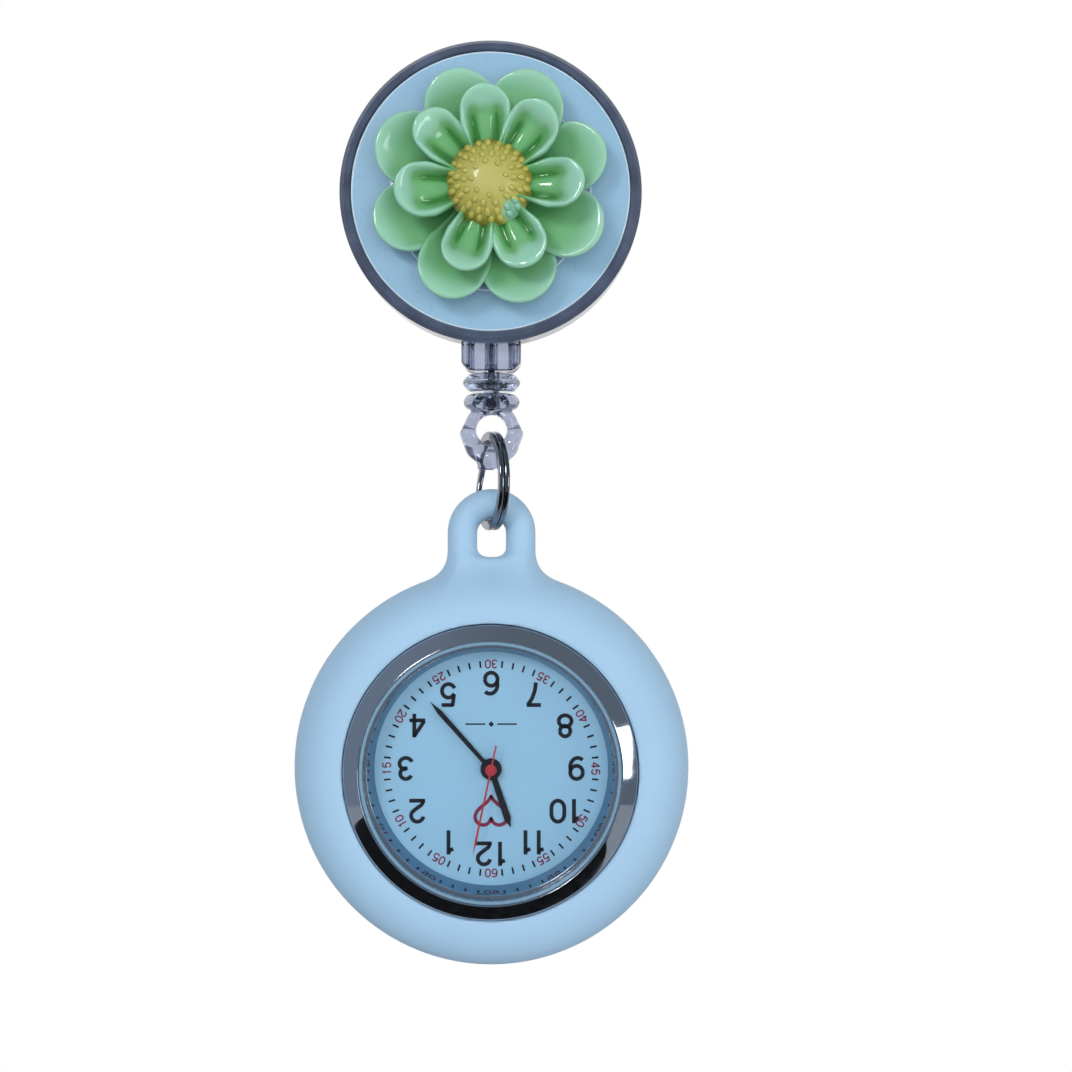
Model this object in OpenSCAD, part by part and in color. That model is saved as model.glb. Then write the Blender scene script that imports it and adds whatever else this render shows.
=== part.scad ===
/* [Reel] */
// Diameter of the round reel case
reel_d = 32; // [28:0.5:36]
// Depth of the reel case, back to front
reel_depth = 8.4; // [7.6:0.1:10]
// Height of the reel centre above the clip's jaws
reel_y = 9.5; // [8:0.5:12]
// Wall of the reel shells
reel_wall = 1.2; // [1:0.1:1.6]
// Diameter of the pale disc set in the front
insert_d = 29.6; // [24:0.2:30]
// Diameter of the round pad under the flower
pad_d = 21.4; // [16:0.2:26]

/* [Flower] */
// Diameter over the outer petals
flower_d = 25.6; // [20:0.2:30]
// Diameter over the inner petals
inner_flower_d = 19.6; // [14:0.2:24]
// Diameter of the yellow centre
centre_d = 8.4; // [6:0.2:12]

/* [Cord and fittings] */
// Diameter of the cord
cord_d = 0.8; // [0.6:0.05:1.2]
// Middle radius of the cord wound on the spool
winding_r = 9; // [7:0.1:10]
// Diameter of the stopper discs
stop_d = 6.2; // [5:0.1:8]
// Outer diameter of the eye under the stopper
eye_d = 6.7; // [5.5:0.1:8]
// Diameter of the hole in the eye
eye_bore_d = 3.6; // [3:0.1:4.4]
// Outer diameter of the split ring
ring_d = 10.7; // [9:0.1:14]
// Radial width of the split ring's strip
ring_strip = 1.0; // [0.8:0.05:1.4]
// Thickness of the split ring's two coils together
ring_stack = 1.2; // [1.2:0.05:2]
// Turn of the split ring from edge on to the front
ring_turn = 17; // [0:1:40]

/* [Sleeve and watch] */
// Diameter of the soft sleeve round the watch
sleeve_d = 42.6; // [36:0.2:46]
// Thickness of the soft sleeve at its fullest
sleeve_t = 10.4; // [8:0.1:12]
// Drop from the reel centre to the watch centre
watch_drop = 61.35; // [55:0.05:70]
// Outer diameter of the bezel
bezel_d = 31.2; // [28:0.2:36]
// Diameter of the case under the sleeve
case_d = 32.8; // [29:0.2:38]
// Diameter of the dial
dial_d = 27; // [24:0.2:32]
// Length of the hour hand from the centre
hour_len = 6.6; // [5:0.1:8]
// Length of the minute hand from the centre
minute_len = 9.8; // [7:0.1:11]
// Length of the second hand from the centre
second_len = 9.3; // [7:0.1:11]
// Hour shown
show_h = 11; // [0:1:11]
// Minute shown
show_m = 23; // [0:1:59]
// Second shown
show_s = 2; // [0:1:59]

/* [Movement] */
// Distance from the centre to the third and intermediate arbors
train_c = 3.06; // [3:0.01:3.2]
// Distance from the centre to the minute wheel
motion_c = 2.4; // [2.2:0.05:2.6]
// Distance from the intermediate arbor to the rotor
rotor_c = 2.4; // [2.2:0.05:2.6]
// Radius of the movement's main plate
plate_r = 10; // [9.5:0.1:10.5]
// Diameter of the button cell
cell_d = 6.8; // [5.8:0.1:7.9]
// Diameter of the crown
crown_d = 3.5; // [3:0.1:4]
// How far the crown pulls out
crown_travel = 0.8; // [0.5:0.05:1]

/* [Clip] */
// Width of the clip
clip_w = 9.7; // [8:0.1:12]
// Thickness of the clip's sheet
clip_t = 0.8; // [0.6:0.05:1]
// Height of the hinge pin above the jaws
pin_y = 14; // [13:0.5:16]
// Radius of the hinge pin
pin_r = 0.75; // [0.6:0.05:1]

/* [Hidden] */
$fn = 96;
eps = 0.01;

// Gap between a running shaft and its hole
run_gap = 0.06;

// The side view's depth of the reel: z is towards the viewer
reel_r = reel_d / 2;
back_z = 3.6;
front_z = back_z + reel_depth;
part_z = back_z + 4.1;
floor_z = back_z + reel_wall;
wall_r = reel_r - reel_wall;
panel_z = front_z - 0.8;
cord_z = back_z + 4.1;
spool_core = 8;

// Radius of the inner petals' hub, under the centre
hub_r = 4.6;

// Drops below the reel centre
guide_low = -18.7;
stop_top = -18.95;
stop_low = -20.85;
knot_y = -21.7;
lug_top = -20.95;
lug_disc_low = -23;
eye_y = -25.4;
eye_hole_y = -25;
lug_end = -29.4;
ring_r = ring_d / 2;
ring_in = ring_r - ring_strip;
ring_y = -25.12 - ring_r;
tab_tube = 1.6;
tab_major = 3.15;
tab_bar_y = ring_y - ring_in + 0.28 + tab_tube;
tab_y = tab_bar_y - tab_major;
hole_low = -38.9;

// The watch, measured from its own centre
sleeve_r = sleeve_d / 2;
tube_r = sleeve_t / 2;
tube_c = sleeve_r - tube_r;
tube_z = -0.2;
back_face = tube_z - tube_r;
case_r = case_d / 2;
bezel_r = bezel_d / 2;
dial_r = dial_d / 2;
stem_z = -1.1;
crown_end = -18.6;
battery_x = -4.6;
third_a = 90;
inter_a = -60;
rotor_a = -20;
motion_a = 150;

// Tooth sizes that follow from the centre distances
m_fourth = train_c * 2 / 70;
m_third = train_c * 2 / 72;
m_centre = train_c * 2 / 68;
m_rotor = rotor_c * 2 / 60;
m_minute = motion_c * 2 / 48;
m_hour = motion_c * 2 / 50;

// Levels of the wheels
low_z = -1.75;
third_z = -1.45;
inter_z = -1.1;
centre_z = -0.75;
wheel_t = 0.2;
motion_z = 0.3;
hour_z = 0.75;

// Tooth angles that keep each pair in mesh at rest
third_turn = mesh_turn(8, 0, third_a, 64);
centre_turn = mesh_turn(8, 0, third_a + 180, 60);
inter_turn = mesh_turn(60, 0, inter_a, 10);
rotor_turn = mesh_turn(50, 0, rotor_a, 10);
minute_turn = mesh_turn(12, 0, motion_a, 36);
hour_turn = mesh_turn(10, 0, motion_a + 180, 40);

// Angles of the hands, clockwise from the figure 12
second_angle = show_s * 6;
minute_angle = (show_m + show_s / 60) * 6;
hour_angle = (show_h + show_m / 60) * 30;

// The angle of the tooth nearest +x on a wheel that meshes with a wheel at turn t
function mesh_turn(teeth, turn, way, other) =
    way + 180 - (360 / other) * (0.5 - (way - turn) * teeth / 360);

// Stands the flat drawing up, so that its front faces -Y and its top +Z
module facing() {
    rotate([90, 0, 0]) children();
}

module at_reel() {
    facing() translate([0, reel_y, 0]) children();
}

module at_watch() {
    facing() translate([0, reel_y - watch_drop, cord_z]) children();
}

// A profile in (y, z) pushed out along x
module across(width) {
    rotate([90, 0, 90]) translate([0, 0, -width / 2]) linear_extrude(height = width) children();
}

// A ring from its section in (radius, z)
module turned(points) {
    rotate_extrude() polygon(points);
}

module rod_x(r, x0, x1) {
    translate([x0, 0, 0]) rotate([0, 90, 0]) cylinder(r = r, h = x1 - x0);
}

module disc(r, z0, z1) {
    translate([0, 0, z0]) cylinder(r = r, h = z1 - z0);
}

module bar(x0, x1, y0, y1, z0, z1) {
    translate([x0, y0, z0]) cube([x1 - x0, y1 - y0, z1 - z0]);
}

function polar(r, a) = [r * cos(a), r * sin(a)];

// A toothed wheel: short tapered teeth with room between them
module wheel(teeth, module_mm, z0, z1, turn = 0) {
    pitch_r = teeth * module_mm / 2;
    tip_r = pitch_r + 0.75 * module_mm;
    root_r = pitch_r - 1.15 * module_mm;
    step = 360 / teeth;
    points = [for (i = [0 : teeth - 1]) each [
        polar(root_r, i * step - step * 0.23),
        polar(tip_r, i * step - step * 0.10),
        polar(tip_r, i * step + step * 0.10),
        polar(root_r, i * step + step * 0.23)
    ]];
    translate([0, 0, z0]) rotate([0, 0, turn]) linear_extrude(height = z1 - z0) polygon(points);
}

// Round windows cut through a wheel's web
module windows(count, at, r, z0, z1) {
    for (i = [0 : count - 1]) {
        rotate([0, 0, (i + 0.5) * 360 / count]) translate([at, 0, 0]) disc(r, z0, z1);
    }
}

// ---- the clip ----

module clip_base() {
    tip_cuts = 5;
    color("#c8ccd2") facing() difference() {
        union() {
            across(clip_w) polygon([
                [-0.8, 0.15], [0.6, 0.15], [1.9, 2], [24, 2],
                [24, 2 + clip_t], [1.4, 2 + clip_t], [-0.8, 0.95]
            ]);
            for (side = [-1, 1]) {
                translate([side * (clip_w - 0.7) / 2, pin_y, 0]) {
                    across(0.7) circle(r = 1.9);
                    across(0.7) translate([-1.9, 0]) square([3.8, 2.4]);
                }
            }
        }
        translate([0, reel_y, 0]) disc(1.5 + run_gap, 1.5, 3.5);
        translate([0, pin_y, 0]) rod_x(pin_r + eps, -clip_w, clip_w);
        for (i = [0 : tip_cuts - 1]) {
            translate([(i - (tip_cuts - 1) / 2) * 1.8, -0.8, 0.15])
                rotate([0, 0, 45]) cube([0.6, 0.6, 3], center = true);
        }
    }
}

module clip_lever() {
    ear_w = 0.7;
    ear_x = 3.45;
    tip_cuts = 5;
    color("#c8ccd2") facing() difference() {
        union() {
            across(2 * ear_x + ear_w) polygon([
                [-0.8, -0.15], [0.6, -0.15], [1.9, -2.2], [15.5, -2.2], [17.5, -2.6], [24.5, -6.8],
                [24.1, -7.5], [17.2, -3.4], [15.3, -3], [1.4, -3], [-0.8, -0.95]
            ]);
            across(clip_w) polygon([[18.7, -3.32], [24.5, -6.8], [24.1, -7.5], [18.29, -4.03]]);
            for (side = [-1, 1]) {
                translate([side * ear_x, pin_y, 0]) {
                    across(ear_w) circle(r = 1.65);
                    across(ear_w) translate([-1.65, -2.4]) square([3.3, 2.4]);
                }
            }
        }
        translate([0, pin_y, 0]) rod_x(pin_r + run_gap, -clip_w, clip_w);
        for (i = [0 : tip_cuts - 1]) {
            translate([(i - (tip_cuts - 1) / 2) * 1.8 + 0.9, -0.8, -0.15])
                rotate([0, 0, 45]) cube([0.6, 0.6, 3], center = true);
        }
    }
}

module clip_pin() {
    color("#b9bdc4") facing() translate([0, pin_y, 0]) {
        rod_x(pin_r, -clip_w / 2 - 0.5, clip_w / 2 + 0.5);
        rod_x(pin_r + 0.35, -clip_w / 2 - 0.5, -clip_w / 2 - 0.02);
        rod_x(pin_r + 0.35, clip_w / 2 + 0.02, clip_w / 2 + 0.5);
    }
}

module clip_spring() {
    wire = 0.25;
    coil_r = 1.3;
    coils = 7;
    pitch = 0.42;
    leg = 6;
    color("#9aa0a8") facing() translate([0, pin_y, 0]) {
        for (i = [0 : coils - 1]) {
            translate([(i - (coils - 1) / 2) * pitch, 0, 0])
                rotate([0, 90, 0]) rotate_extrude() translate([coil_r, 0]) circle(r = wire, $fn = 24);
        }
        translate([(coils - 1) / 2 * pitch, 0, coil_r]) rotate([-90, 0, 0])
            cylinder(r = wire, h = leg, $fn = 24);
        translate([-(coils - 1) / 2 * pitch, 0, -coil_r]) rotate([-84, 0, 0])
            cylinder(r = wire, h = leg - 2.5, $fn = 24);
    }
}

module swivel_rivet() {
    color("#c2c6cc") at_reel() {
        disc(2.4, 1.1, 1.75);
        disc(1.5, 1.1, floor_z + 0.6);
    }
}

// ---- the reel ----

module guide_notch() {
    bar(-3.22, 3.22, -reel_r - 1, -wall_r + 0.9, cord_z - 2.42, cord_z + 2.42);
}

module reel_back_shell() {
    color([0.27, 0.32, 0.42, 0.6]) at_reel() difference() {
        union() {
            turned([
                [0, back_z], [reel_r - 1.3, back_z], [reel_r - 0.5, back_z + 0.8], [reel_r, part_z - 0.02],
                [wall_r, part_z - 0.02], [wall_r, floor_z], [0, floor_z]
            ]);
            disc(3, back_z - 0.55, back_z + 0.5);
            disc(2, floor_z - 0.2, panel_z - 1.2);
        }
        disc(1.5 + eps, back_z - 1, floor_z + 0.62);
        disc(0.7, floor_z + 1.6, front_z);
        guide_notch();
    }
}

module reel_front_shell() {
    color([0.27, 0.32, 0.42, 0.5]) at_reel() difference() {
        turned([
            [wall_r, part_z + 0.02], [reel_r, part_z + 0.02], [reel_r, front_z - 0.3],
            [reel_r - 0.45, front_z + 0.3], [insert_d / 2 + 0.15, front_z + 0.3],
            [insert_d / 2 + 0.03, front_z + 0.1], [insert_d / 2 + 0.03, panel_z],
            [0, panel_z], [0, panel_z - 0.6], [wall_r, panel_z - 0.6]
        ]);
        disc(0.75, panel_z - 1, front_z);
        disc(1.85, panel_z - 0.3, front_z);
        guide_notch();
    }
}

module hub_screw() {
    color("#b9bdc4") at_reel() difference() {
        union() {
            disc(1.8, panel_z - 0.29, panel_z - 0.03);
            disc(0.68, floor_z + 1.8, panel_z - 0.2);
        }
        bar(-1.2, 1.2, -0.15, 0.15, panel_z - 0.15, panel_z);
        bar(-0.15, 0.15, -1.2, 1.2, panel_z - 0.15, panel_z);
    }
}

module insert_disc() {
    color("#a5cbe0") at_reel() turned([
        [0, panel_z + 0.02], [insert_d / 2, panel_z + 0.02], [insert_d / 2, front_z - 0.15],
        [insert_d / 2 - 0.15, front_z], [0, front_z]
    ]);
}

module cord_guide() {
    half = 3.2;
    deep = 2.4;
    bore = cord_d / 2 + 0.35;
    mouth_low = -15;
    color([0.75, 0.85, 0.95, 0.5]) at_reel() difference() {
        translate([0, 0, cord_z - deep]) linear_extrude(height = 2 * deep) polygon([
            [-half, -wall_r + 0.7], [-half, guide_low + 0.8], [-half + 0.8, guide_low],
            [half - 0.8, guide_low], [half, guide_low + 0.8], [half, -wall_r + 0.7]
        ]);
        translate([0, 0, cord_z]) rotate([90, 0, 0]) cylinder(r = bore, h = 40, center = true);
        translate([0, mouth_low, cord_z]) rotate([-90, 0, 0]) cylinder(r1 = bore, r2 = bore + 1.25, h = 1.2);
    }
}

module power_spring() {
    turns = 6.5;
    inner = 2.75;
    outer = 7;
    strip = 0.14;
    steps = 150;
    function spiral(i, off) = polar(inner + (outer - inner) * i / steps + off, 360 * turns * i / steps);
    points = concat(
        [for (i = [0 : steps]) spiral(i, 0)],
        [for (i = [steps : -1 : 0]) spiral(i, strip)]
    );
    color("#8d929b") at_reel() {
        translate([0, 0, cord_z - 1]) linear_extrude(height = 2.8) polygon(points);
        bar(2 + eps, inner + strip, -0.07, 0.07, cord_z - 1, cord_z + 1.8);
    }
}

module spool() {
    flange = 12.4;
    core_out = spool_core;
    core_in = spool_core - 0.6;
    hub = 2 + run_gap;
    low = floor_z + 0.4;
    high = panel_z - 1;
    color("#e4e7ea") at_reel() turned([
        [hub, low], [flange, low], [flange, low + 0.6], [core_out, low + 0.6],
        [core_out, high - 0.6], [flange, high - 0.6], [flange, high], [core_in, high],
        [core_in, low + 0.6], [hub + 0.5, low + 0.6], [hub + 0.5, low + 1.2], [hub, low + 1.2]
    ]);
}

module cord_winding() {
    rows = 4;
    pitch = cord_d + 0.06;
    inner = spool_core + 0.02;
    outer = 2 * winding_r - inner - cord_d / 2;
    color("#1c1f28") at_reel() rotate_extrude() {
        translate([inner, cord_z - 1.7]) square([outer - inner, 3.4]);
        for (i = [0 : rows - 1]) {
            translate([outer, cord_z + (i - (rows - 1) / 2) * pitch]) circle(r = cord_d / 2, $fn = 24);
        }
    }
}

// The cord from the side of the winding to the guide's mouth
module cord_lead() {
    wrap_r = 10.9;
    mouth = 14.6;
    swing = acos(wrap_r / mouth);
    length = sqrt(mouth * mouth - wrap_r * wrap_r);
    color("#1c1f28") at_reel() translate([0, -mouth, cord_z]) {
        sphere(r = cord_d / 2, $fn = 24);
        rotate([0, 0, swing - 90]) rotate([-90, 0, 0]) cylinder(r = cord_d / 2, h = length, $fn = 24);
        rotate([90, 0, 0]) cylinder(r = cord_d / 2, h = 3.2, $fn = 24);
    }
}

// The stretch that grows as the watch is pulled down
module cord_run() {
    color("#1c1f28") at_reel() translate([0, -17.85, cord_z])
        rotate([90, 0, 0]) cylinder(r = cord_d / 2, h = 2.9, $fn = 24);
}

// ---- the flower ----

// A petal's outline: a broad round end on a neck that narrows to the centre
module petal_outline(reach, width, neck) {
    end_r = width / 2;
    union() {
        translate([reach - end_r, 0]) circle(r = end_r);
        polygon([[1.5, -neck], [reach - end_r, -end_r * 0.98], [reach - end_r, end_r * 0.98], [1.5, neck]]);
    }
}

// One cupped petal lying along +x: the outline cut from a thin shell
module petal(reach, width, neck, cup_r, lift, skin) {
    intersection() {
        translate([0, 0, -5]) linear_extrude(height = cup_r + lift + 4) petal_outline(reach, width, neck);
        translate([reach * 0.42, 0, cup_r + lift]) difference() {
            sphere(r = cup_r);
            sphere(r = cup_r - skin);
        }
    }
}

module flower_pad() {
    color([0.7, 0.85, 0.92, 0.6]) at_reel() turned([
        [0, front_z + 0.02], [pad_d / 2, front_z + 0.02], [pad_d / 2, front_z + 0.4],
        [pad_d / 2 - 0.2, front_z + 0.6], [0, front_z + 0.6]
    ]);
}

module flower_outer_petals() {
    count = 8;
    first = 110;
    low = front_z + 0.65;
    color("#86c0a6") at_reel() translate([0, 0, low]) difference() {
        union() {
            disc(5, 0, 1.2);
            for (i = [0 : count - 1]) {
                rotate([0, 0, first - i * 360 / count])
                    petal(flower_d / 2, 8.6, 2.6, 12 + 1.2 * (i % 2), 0.15 + 0.8 * (i % 2), 0.95);
            }
        }
        disc(hub_r + 0.05, 1.22, 6);
    }
}

module flower_inner_petals() {
    low = front_z + 2.3;
    ways = [93, 51, -2, -63, -109, -172, 137];
    color("#7db894") at_reel() translate([0, 0, low]) difference() {
        union() {
            disc(hub_r, -0.4, 1.4);
            for (i = [0 : len(ways) - 1]) {
                cup_r = 8 + 0.55 * (i % 2) + 0.13 * i;
                rotate([0, 0, ways[i]]) petal(inner_flower_d / 2, 6.4, 2.2, cup_r, 0.5 + 0.3 * (i % 3), 0.95);
            }
        }
        disc(hub_r + 0.15, 1.42, 6);
    }
}

module flower_centre() {
    low = front_z + 3.75;
    dome_r = 5;
    bead = 0.62;
    // Each ring of beads: share of the centre's radius, number of beads, height
    rings = [[0.38, 7, 2.75], [0.64, 11, 2.2], [0.845, 15, 1.4]];
    color("#d8d884") at_reel() translate([0, 0, low]) {
        difference() {
            translate([0, 0, -1.7]) sphere(r = dome_r);
            translate([0, 0, -10]) cube(20, center = true);
        }
        for (ring = rings) {
            for (i = [0 : ring[1] - 1]) {
                rotate([0, 0, i * 360 / ring[1]]) translate([ring[0] * centre_d / 2, 0, ring[2]])
                    sphere(r = bead, $fn = 24);
            }
        }
    }
}

// ---- the stopper, eye and ring ----

module stop_cap() {
    r = stop_d / 2;
    edge = 0.35;
    color([0.75, 0.85, 0.95, 0.5]) at_reel() translate([0, stop_low, cord_z]) rotate([-90, 0, 0])
        turned([
            [cord_d / 2 + 0.3, 0], [r - edge, 0], [r, edge], [r, stop_top - stop_low - edge],
            [r - edge, stop_top - stop_low], [cord_d / 2 + 0.3, stop_top - stop_low]
        ]);
}

module eye_lug() {
    r = stop_d / 2 - 0.04;
    edge = 0.3;
    thick = 2;
    bore = eye_bore_d / 2;
    tall = lug_top - lug_disc_low;
    color([0.75, 0.85, 0.95, 0.5]) at_reel() translate([0, 0, cord_z]) difference() {
        union() {
            translate([0, lug_disc_low, 0]) rotate([-90, 0, 0]) turned([
                [0, 0], [r - edge, 0], [r, edge], [r, tall - edge], [r - edge, tall], [0, tall]
            ]);
            translate([0, 0, -thick / 2]) linear_extrude(height = thick) {
                translate([0, eye_y]) circle(r = eye_d / 2);
                polygon([
                    [-3.1, eye_y - 1.2], [3.1, eye_y - 1.2], [1.6, lug_end + 1.1], [1.45, lug_end + 0.7],
                    [1.45, lug_end], [-1.45, lug_end], [-1.45, lug_end + 0.7], [-1.6, lug_end + 1.1]
                ]);
            }
        }
        translate([0, lug_top + 1, 0]) rotate([90, 0, 0]) cylinder(r = 1.35, h = 2.65);
        translate([0, eye_hole_y, 0]) {
            disc(bore, -5, 5);
            translate([0, 0, thick / 2 - 0.35]) cylinder(r1 = bore, r2 = bore + 0.7, h = 0.7);
            translate([0, 0, -thick / 2 - 0.35]) cylinder(r1 = bore + 0.7, r2 = bore, h = 0.7);
        }
    }
}

module cord_knot() {
    color("#1c1f28") at_reel() translate([0, knot_y, cord_z]) {
        sphere(r = 0.78, $fn = 32);
        translate([0.2, -0.1, 0.15]) rotate([50, 20, 0])
            rotate_extrude() translate([0.55, 0]) circle(r = 0.38, $fn = 24);
    }
}

module split_ring() {
    half = ring_stack / 2;
    slit = 0.04;
    color("#c4c8ce") at_reel() translate([0, ring_y, cord_z]) rotate([0, ring_turn, 0]) rotate([0, 90, 0]) {
        for (side = [-1, 1]) {
            z0 = side > 0 ? slit / 2 : -half;
            rotate_extrude() polygon([
                [ring_in + 0.12, z0], [ring_r - 0.12, z0], [ring_r, z0 + 0.12],
                [ring_r, z0 + half - slit / 2 - 0.12], [ring_r - 0.12, z0 + half - slit / 2],
                [ring_in + 0.12, z0 + half - slit / 2], [ring_in, z0 + half - slit / 2 - 0.12],
                [ring_in, z0 + 0.12]
            ]);
        }
        rotate([0, 0, 30]) bar(ring_in + 0.15, ring_r - 0.15, -0.4, 0.4, -0.2, 0.2);
    }
}

// ---- the sleeve and the case ----

module sleeve_tab() {
    fillet = 2.5;
    side = tab_major + tab_tube;
    fillet_x = side + fillet;
    fillet_y = sqrt((sleeve_r + fillet) * (sleeve_r + fillet) - fillet_x * fillet_x);
    top = tab_y + watch_drop;
    translate([0, top, 0]) {
        rotate_extrude(angle = 180) translate([tab_major, 0]) circle(r = tab_tube, $fn = 48);
        for (x = [-tab_major, tab_major]) {
            translate([x, 0, 0]) rotate([90, 0, 0]) cylinder(r = tab_tube, h = 4.4, $fn = 48);
        }
    }
    translate([0, 0, -tab_tube * 0.92]) linear_extrude(height = tab_tube * 1.84) difference() {
        translate([-fillet_x, fillet_y - 4]) square([2 * fillet_x, 4]);
        for (x = [-fillet_x, fillet_x]) {
            translate([x, fillet_y]) circle(r = fillet);
        }
    }
    translate([-tab_major, fillet_y - 2, -tab_tube * 0.92])
        cube([2 * tab_major, hole_low + watch_drop - fillet_y + 2, tab_tube * 1.84]);
}

module silicone_sleeve() {
    lip_r = 12;
    back_r = 14.5;
    back_z0 = -4.65;
    seat_z = -2.52;
    color("#a3c4de") at_watch() difference() {
        union() {
            rotate_extrude() {
                translate([tube_c, tube_z]) circle(r = tube_r);
                translate([lip_r, back_face]) square([tube_c - lip_r, 3]);
            }
            sleeve_tab();
        }
        turned([
            [0, -7], [lip_r, -7], [lip_r, back_z0], [back_r, back_z0], [back_r, seat_z],
            [case_r + 0.02, seat_z], [case_r + 0.02, 2.03], [bezel_r + 0.05, 2.03],
            [bezel_r + 0.05, 7], [0, 7]
        ]);
        translate([0, 0, stem_z]) rod_x(crown_d / 2 + 0.3, crown_end - crown_travel - 0.3, -case_r + 1);
    }
}

module bezel() {
    inner = 13.55;
    seat = 13.1;
    glass = 13.85;
    color("#c9ced6") at_watch() turned([
        [inner, 2.05], [bezel_r, 2.05], [bezel_r, 4.85], [bezel_r - 0.2, 5.05], [glass + 0.3, 5.75],
        [glass, 5.7], [glass, 4.22], [seat, 4.22], [seat, 3.95], [inner, 3.95]
    ]);
}

module case_middle() {
    inner = 13.65;
    color("#b4bac4") at_watch() difference() {
        turned([
            [inner, -3.55], [14.3, -3.55], [14.3, -2.5], [case_r, -2.5], [case_r, 2.02], [inner, 2.02]
        ]);
        translate([0, 0, stem_z]) rod_x(0.7, -case_r - 1, -inner + 1);
    }
}

module crystal() {
    r = 13.42;
    color([0.85, 0.93, 1, 0.25]) at_watch() turned([
        [0, 4.25], [r, 4.25], [r, 5.35], [r - 0.2, 5.55], [0, 5.55]
    ]);
}

module crystal_gasket() {
    color("#dfe8ee") at_watch() turned([[13.45, 4.25], [13.83, 4.25], [13.83, 5.5], [13.45, 5.5]]);
}

module dial_ring() {
    color("#aebac6") at_watch() turned([[12.5, 1.65], [13.5, 1.65], [13.5, 3.9], [13.2, 3.9]]);
}

module dial() {
    feet = [[-9.5, 7.5], [9.5, -7.5]];
    color("#9cc3de") at_watch() {
        difference() {
            disc(dial_r, 1.2, 1.6);
            disc(0.85, 0, 3);
        }
        for (foot = feet) {
            translate([foot[0], foot[1], 0]) disc(0.35, 0.3, 1.3);
        }
    }
}

module movement_holder() {
    feet = [[-9.5, 7.5], [9.5, -7.5]];
    color("#e9ecef") at_watch() difference() {
        turned([
            [plate_r + 0.05, -2.9], [13.6, -2.9], [13.6, 1.15], [plate_r + 0.05, 1.15]
        ]);
        translate([0, 0, stem_z]) rod_x(0.85, -14.5, -plate_r + 1);
        for (foot = feet) {
            translate([foot[0], foot[1], 0]) disc(0.4, -3.5, 2);
        }
    }
}

module case_back() {
    r = 14.35;
    notch_at = 13.2;
    color("#bfc4cb") at_watch() difference() {
        turned([
            [0, -4.6], [11.6, -4.6], [r, -4.45], [r, -3.6], [13.2, -3.6], [13.2, -3.1],
            [12.6, -3.1], [12.6, -3.6], [0, -3.6]
        ]);
        for (a = [0 : 120 : 240]) {
            rotate([0, 0, a + 30]) translate([10, 0, 0]) disc(0.7, -5, -4.35);
        }
        rotate([0, 0, -90]) translate([notch_at + 1, 0, 0]) bar(-0.7, 0.7, -1.5, 1.5, -5, -4.15);
    }
}

module back_gasket() {
    color("#2a2d33") at_watch() rotate_extrude() translate([13.42, -3.36]) circle(r = 0.2, $fn = 24);
}

// ---- the hands ----

// A flat hand along +y: a parallel shaft that tapers to a point
module hand(length, tail, half_w, z0, z1, hub_r, bore_r, angle) {
    point = length * 0.16;
    rotate([0, 0, 180 - angle]) difference() {
        union() {
            translate([0, 0, z0]) linear_extrude(height = z1 - z0) polygon([
                [-half_w * 0.8, -tail], [half_w * 0.8, -tail], [half_w, length - point],
                [0, length], [-half_w, length - point]
            ]);
            disc(hub_r, z0, z1);
        }
        disc(bore_r, z0 - 1, z1 + 1);
    }
}

module hour_hand() {
    color("#14161c") at_watch() hand(hour_len, 0, 0.38, 2.02, 2.17, 1.15, 0.66, hour_angle);
}

module minute_hand() {
    color("#14161c") at_watch() hand(minute_len, 0, 0.27, 2.5, 2.65, 1.0, 0.39, minute_angle);
}

module second_hand() {
    color("#b3263a") at_watch() {
        hand(second_len, 2.7, 0.11, 3, 3.12, 0.62, 0.16, second_angle);
        difference() {
            disc(0.45, 2.95, 3.35);
            disc(0.16, 2, 3.25);
        }
    }
}

// ---- the wheels ----

module hour_wheel() {
    color("#c9a24f") at_watch() difference() {
        union() {
            wheel(40, m_hour, hour_z, hour_z + 0.25, hour_turn);
            disc(0.65, hour_z, 2.16);
        }
        disc(0.43, 0, 3);
    }
}

module minute_wheel() {
    at = polar(motion_c, motion_a);
    color("#c9a24f") at_watch() translate([at[0], at[1], 0]) difference() {
        union() {
            wheel(36, m_minute, motion_z, motion_z + 0.3, minute_turn);
            wheel(10, m_hour, motion_z + 0.2, hour_z + 0.25);
        }
        disc(0.2 + run_gap, 0, 3);
        windows(5, 1.1, 0.36, 0, motion_z + 0.29);
    }
}

module centre_wheel() {
    color("#c9a24f") at_watch() difference() {
        union() {
            wheel(60, m_centre, centre_z, centre_z + wheel_t, centre_turn);
            disc(0.38, centre_z - 0.05, 2.64);
            wheel(12, m_minute, motion_z, motion_z + 0.35);
        }
        disc(0.15 + run_gap, -3, 4);
        windows(5, 1.5, 0.62, -2, 0);
    }
}

module fourth_wheel() {
    color("#c9a24f") at_watch() {
        difference() {
            wheel(60, m_fourth, low_z, low_z + wheel_t);
            windows(5, 1.5, 0.6, -3, 0);
        }
        wheel(8, m_third, low_z + 0.1, third_z + wheel_t);
        disc(0.15, -2.2, 3.2);
    }
}

module third_wheel() {
    at = polar(train_c, third_a);
    color("#c9a24f") at_watch() translate([at[0], at[1], 0]) {
        difference() {
            wheel(64, m_third, third_z, third_z + wheel_t, third_turn);
            windows(5, 1.55, 0.62, -3, 0);
        }
        wheel(8, m_centre, third_z + 0.1, centre_z + wheel_t);
        disc(0.14, -2.2, 0);
    }
}

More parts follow.
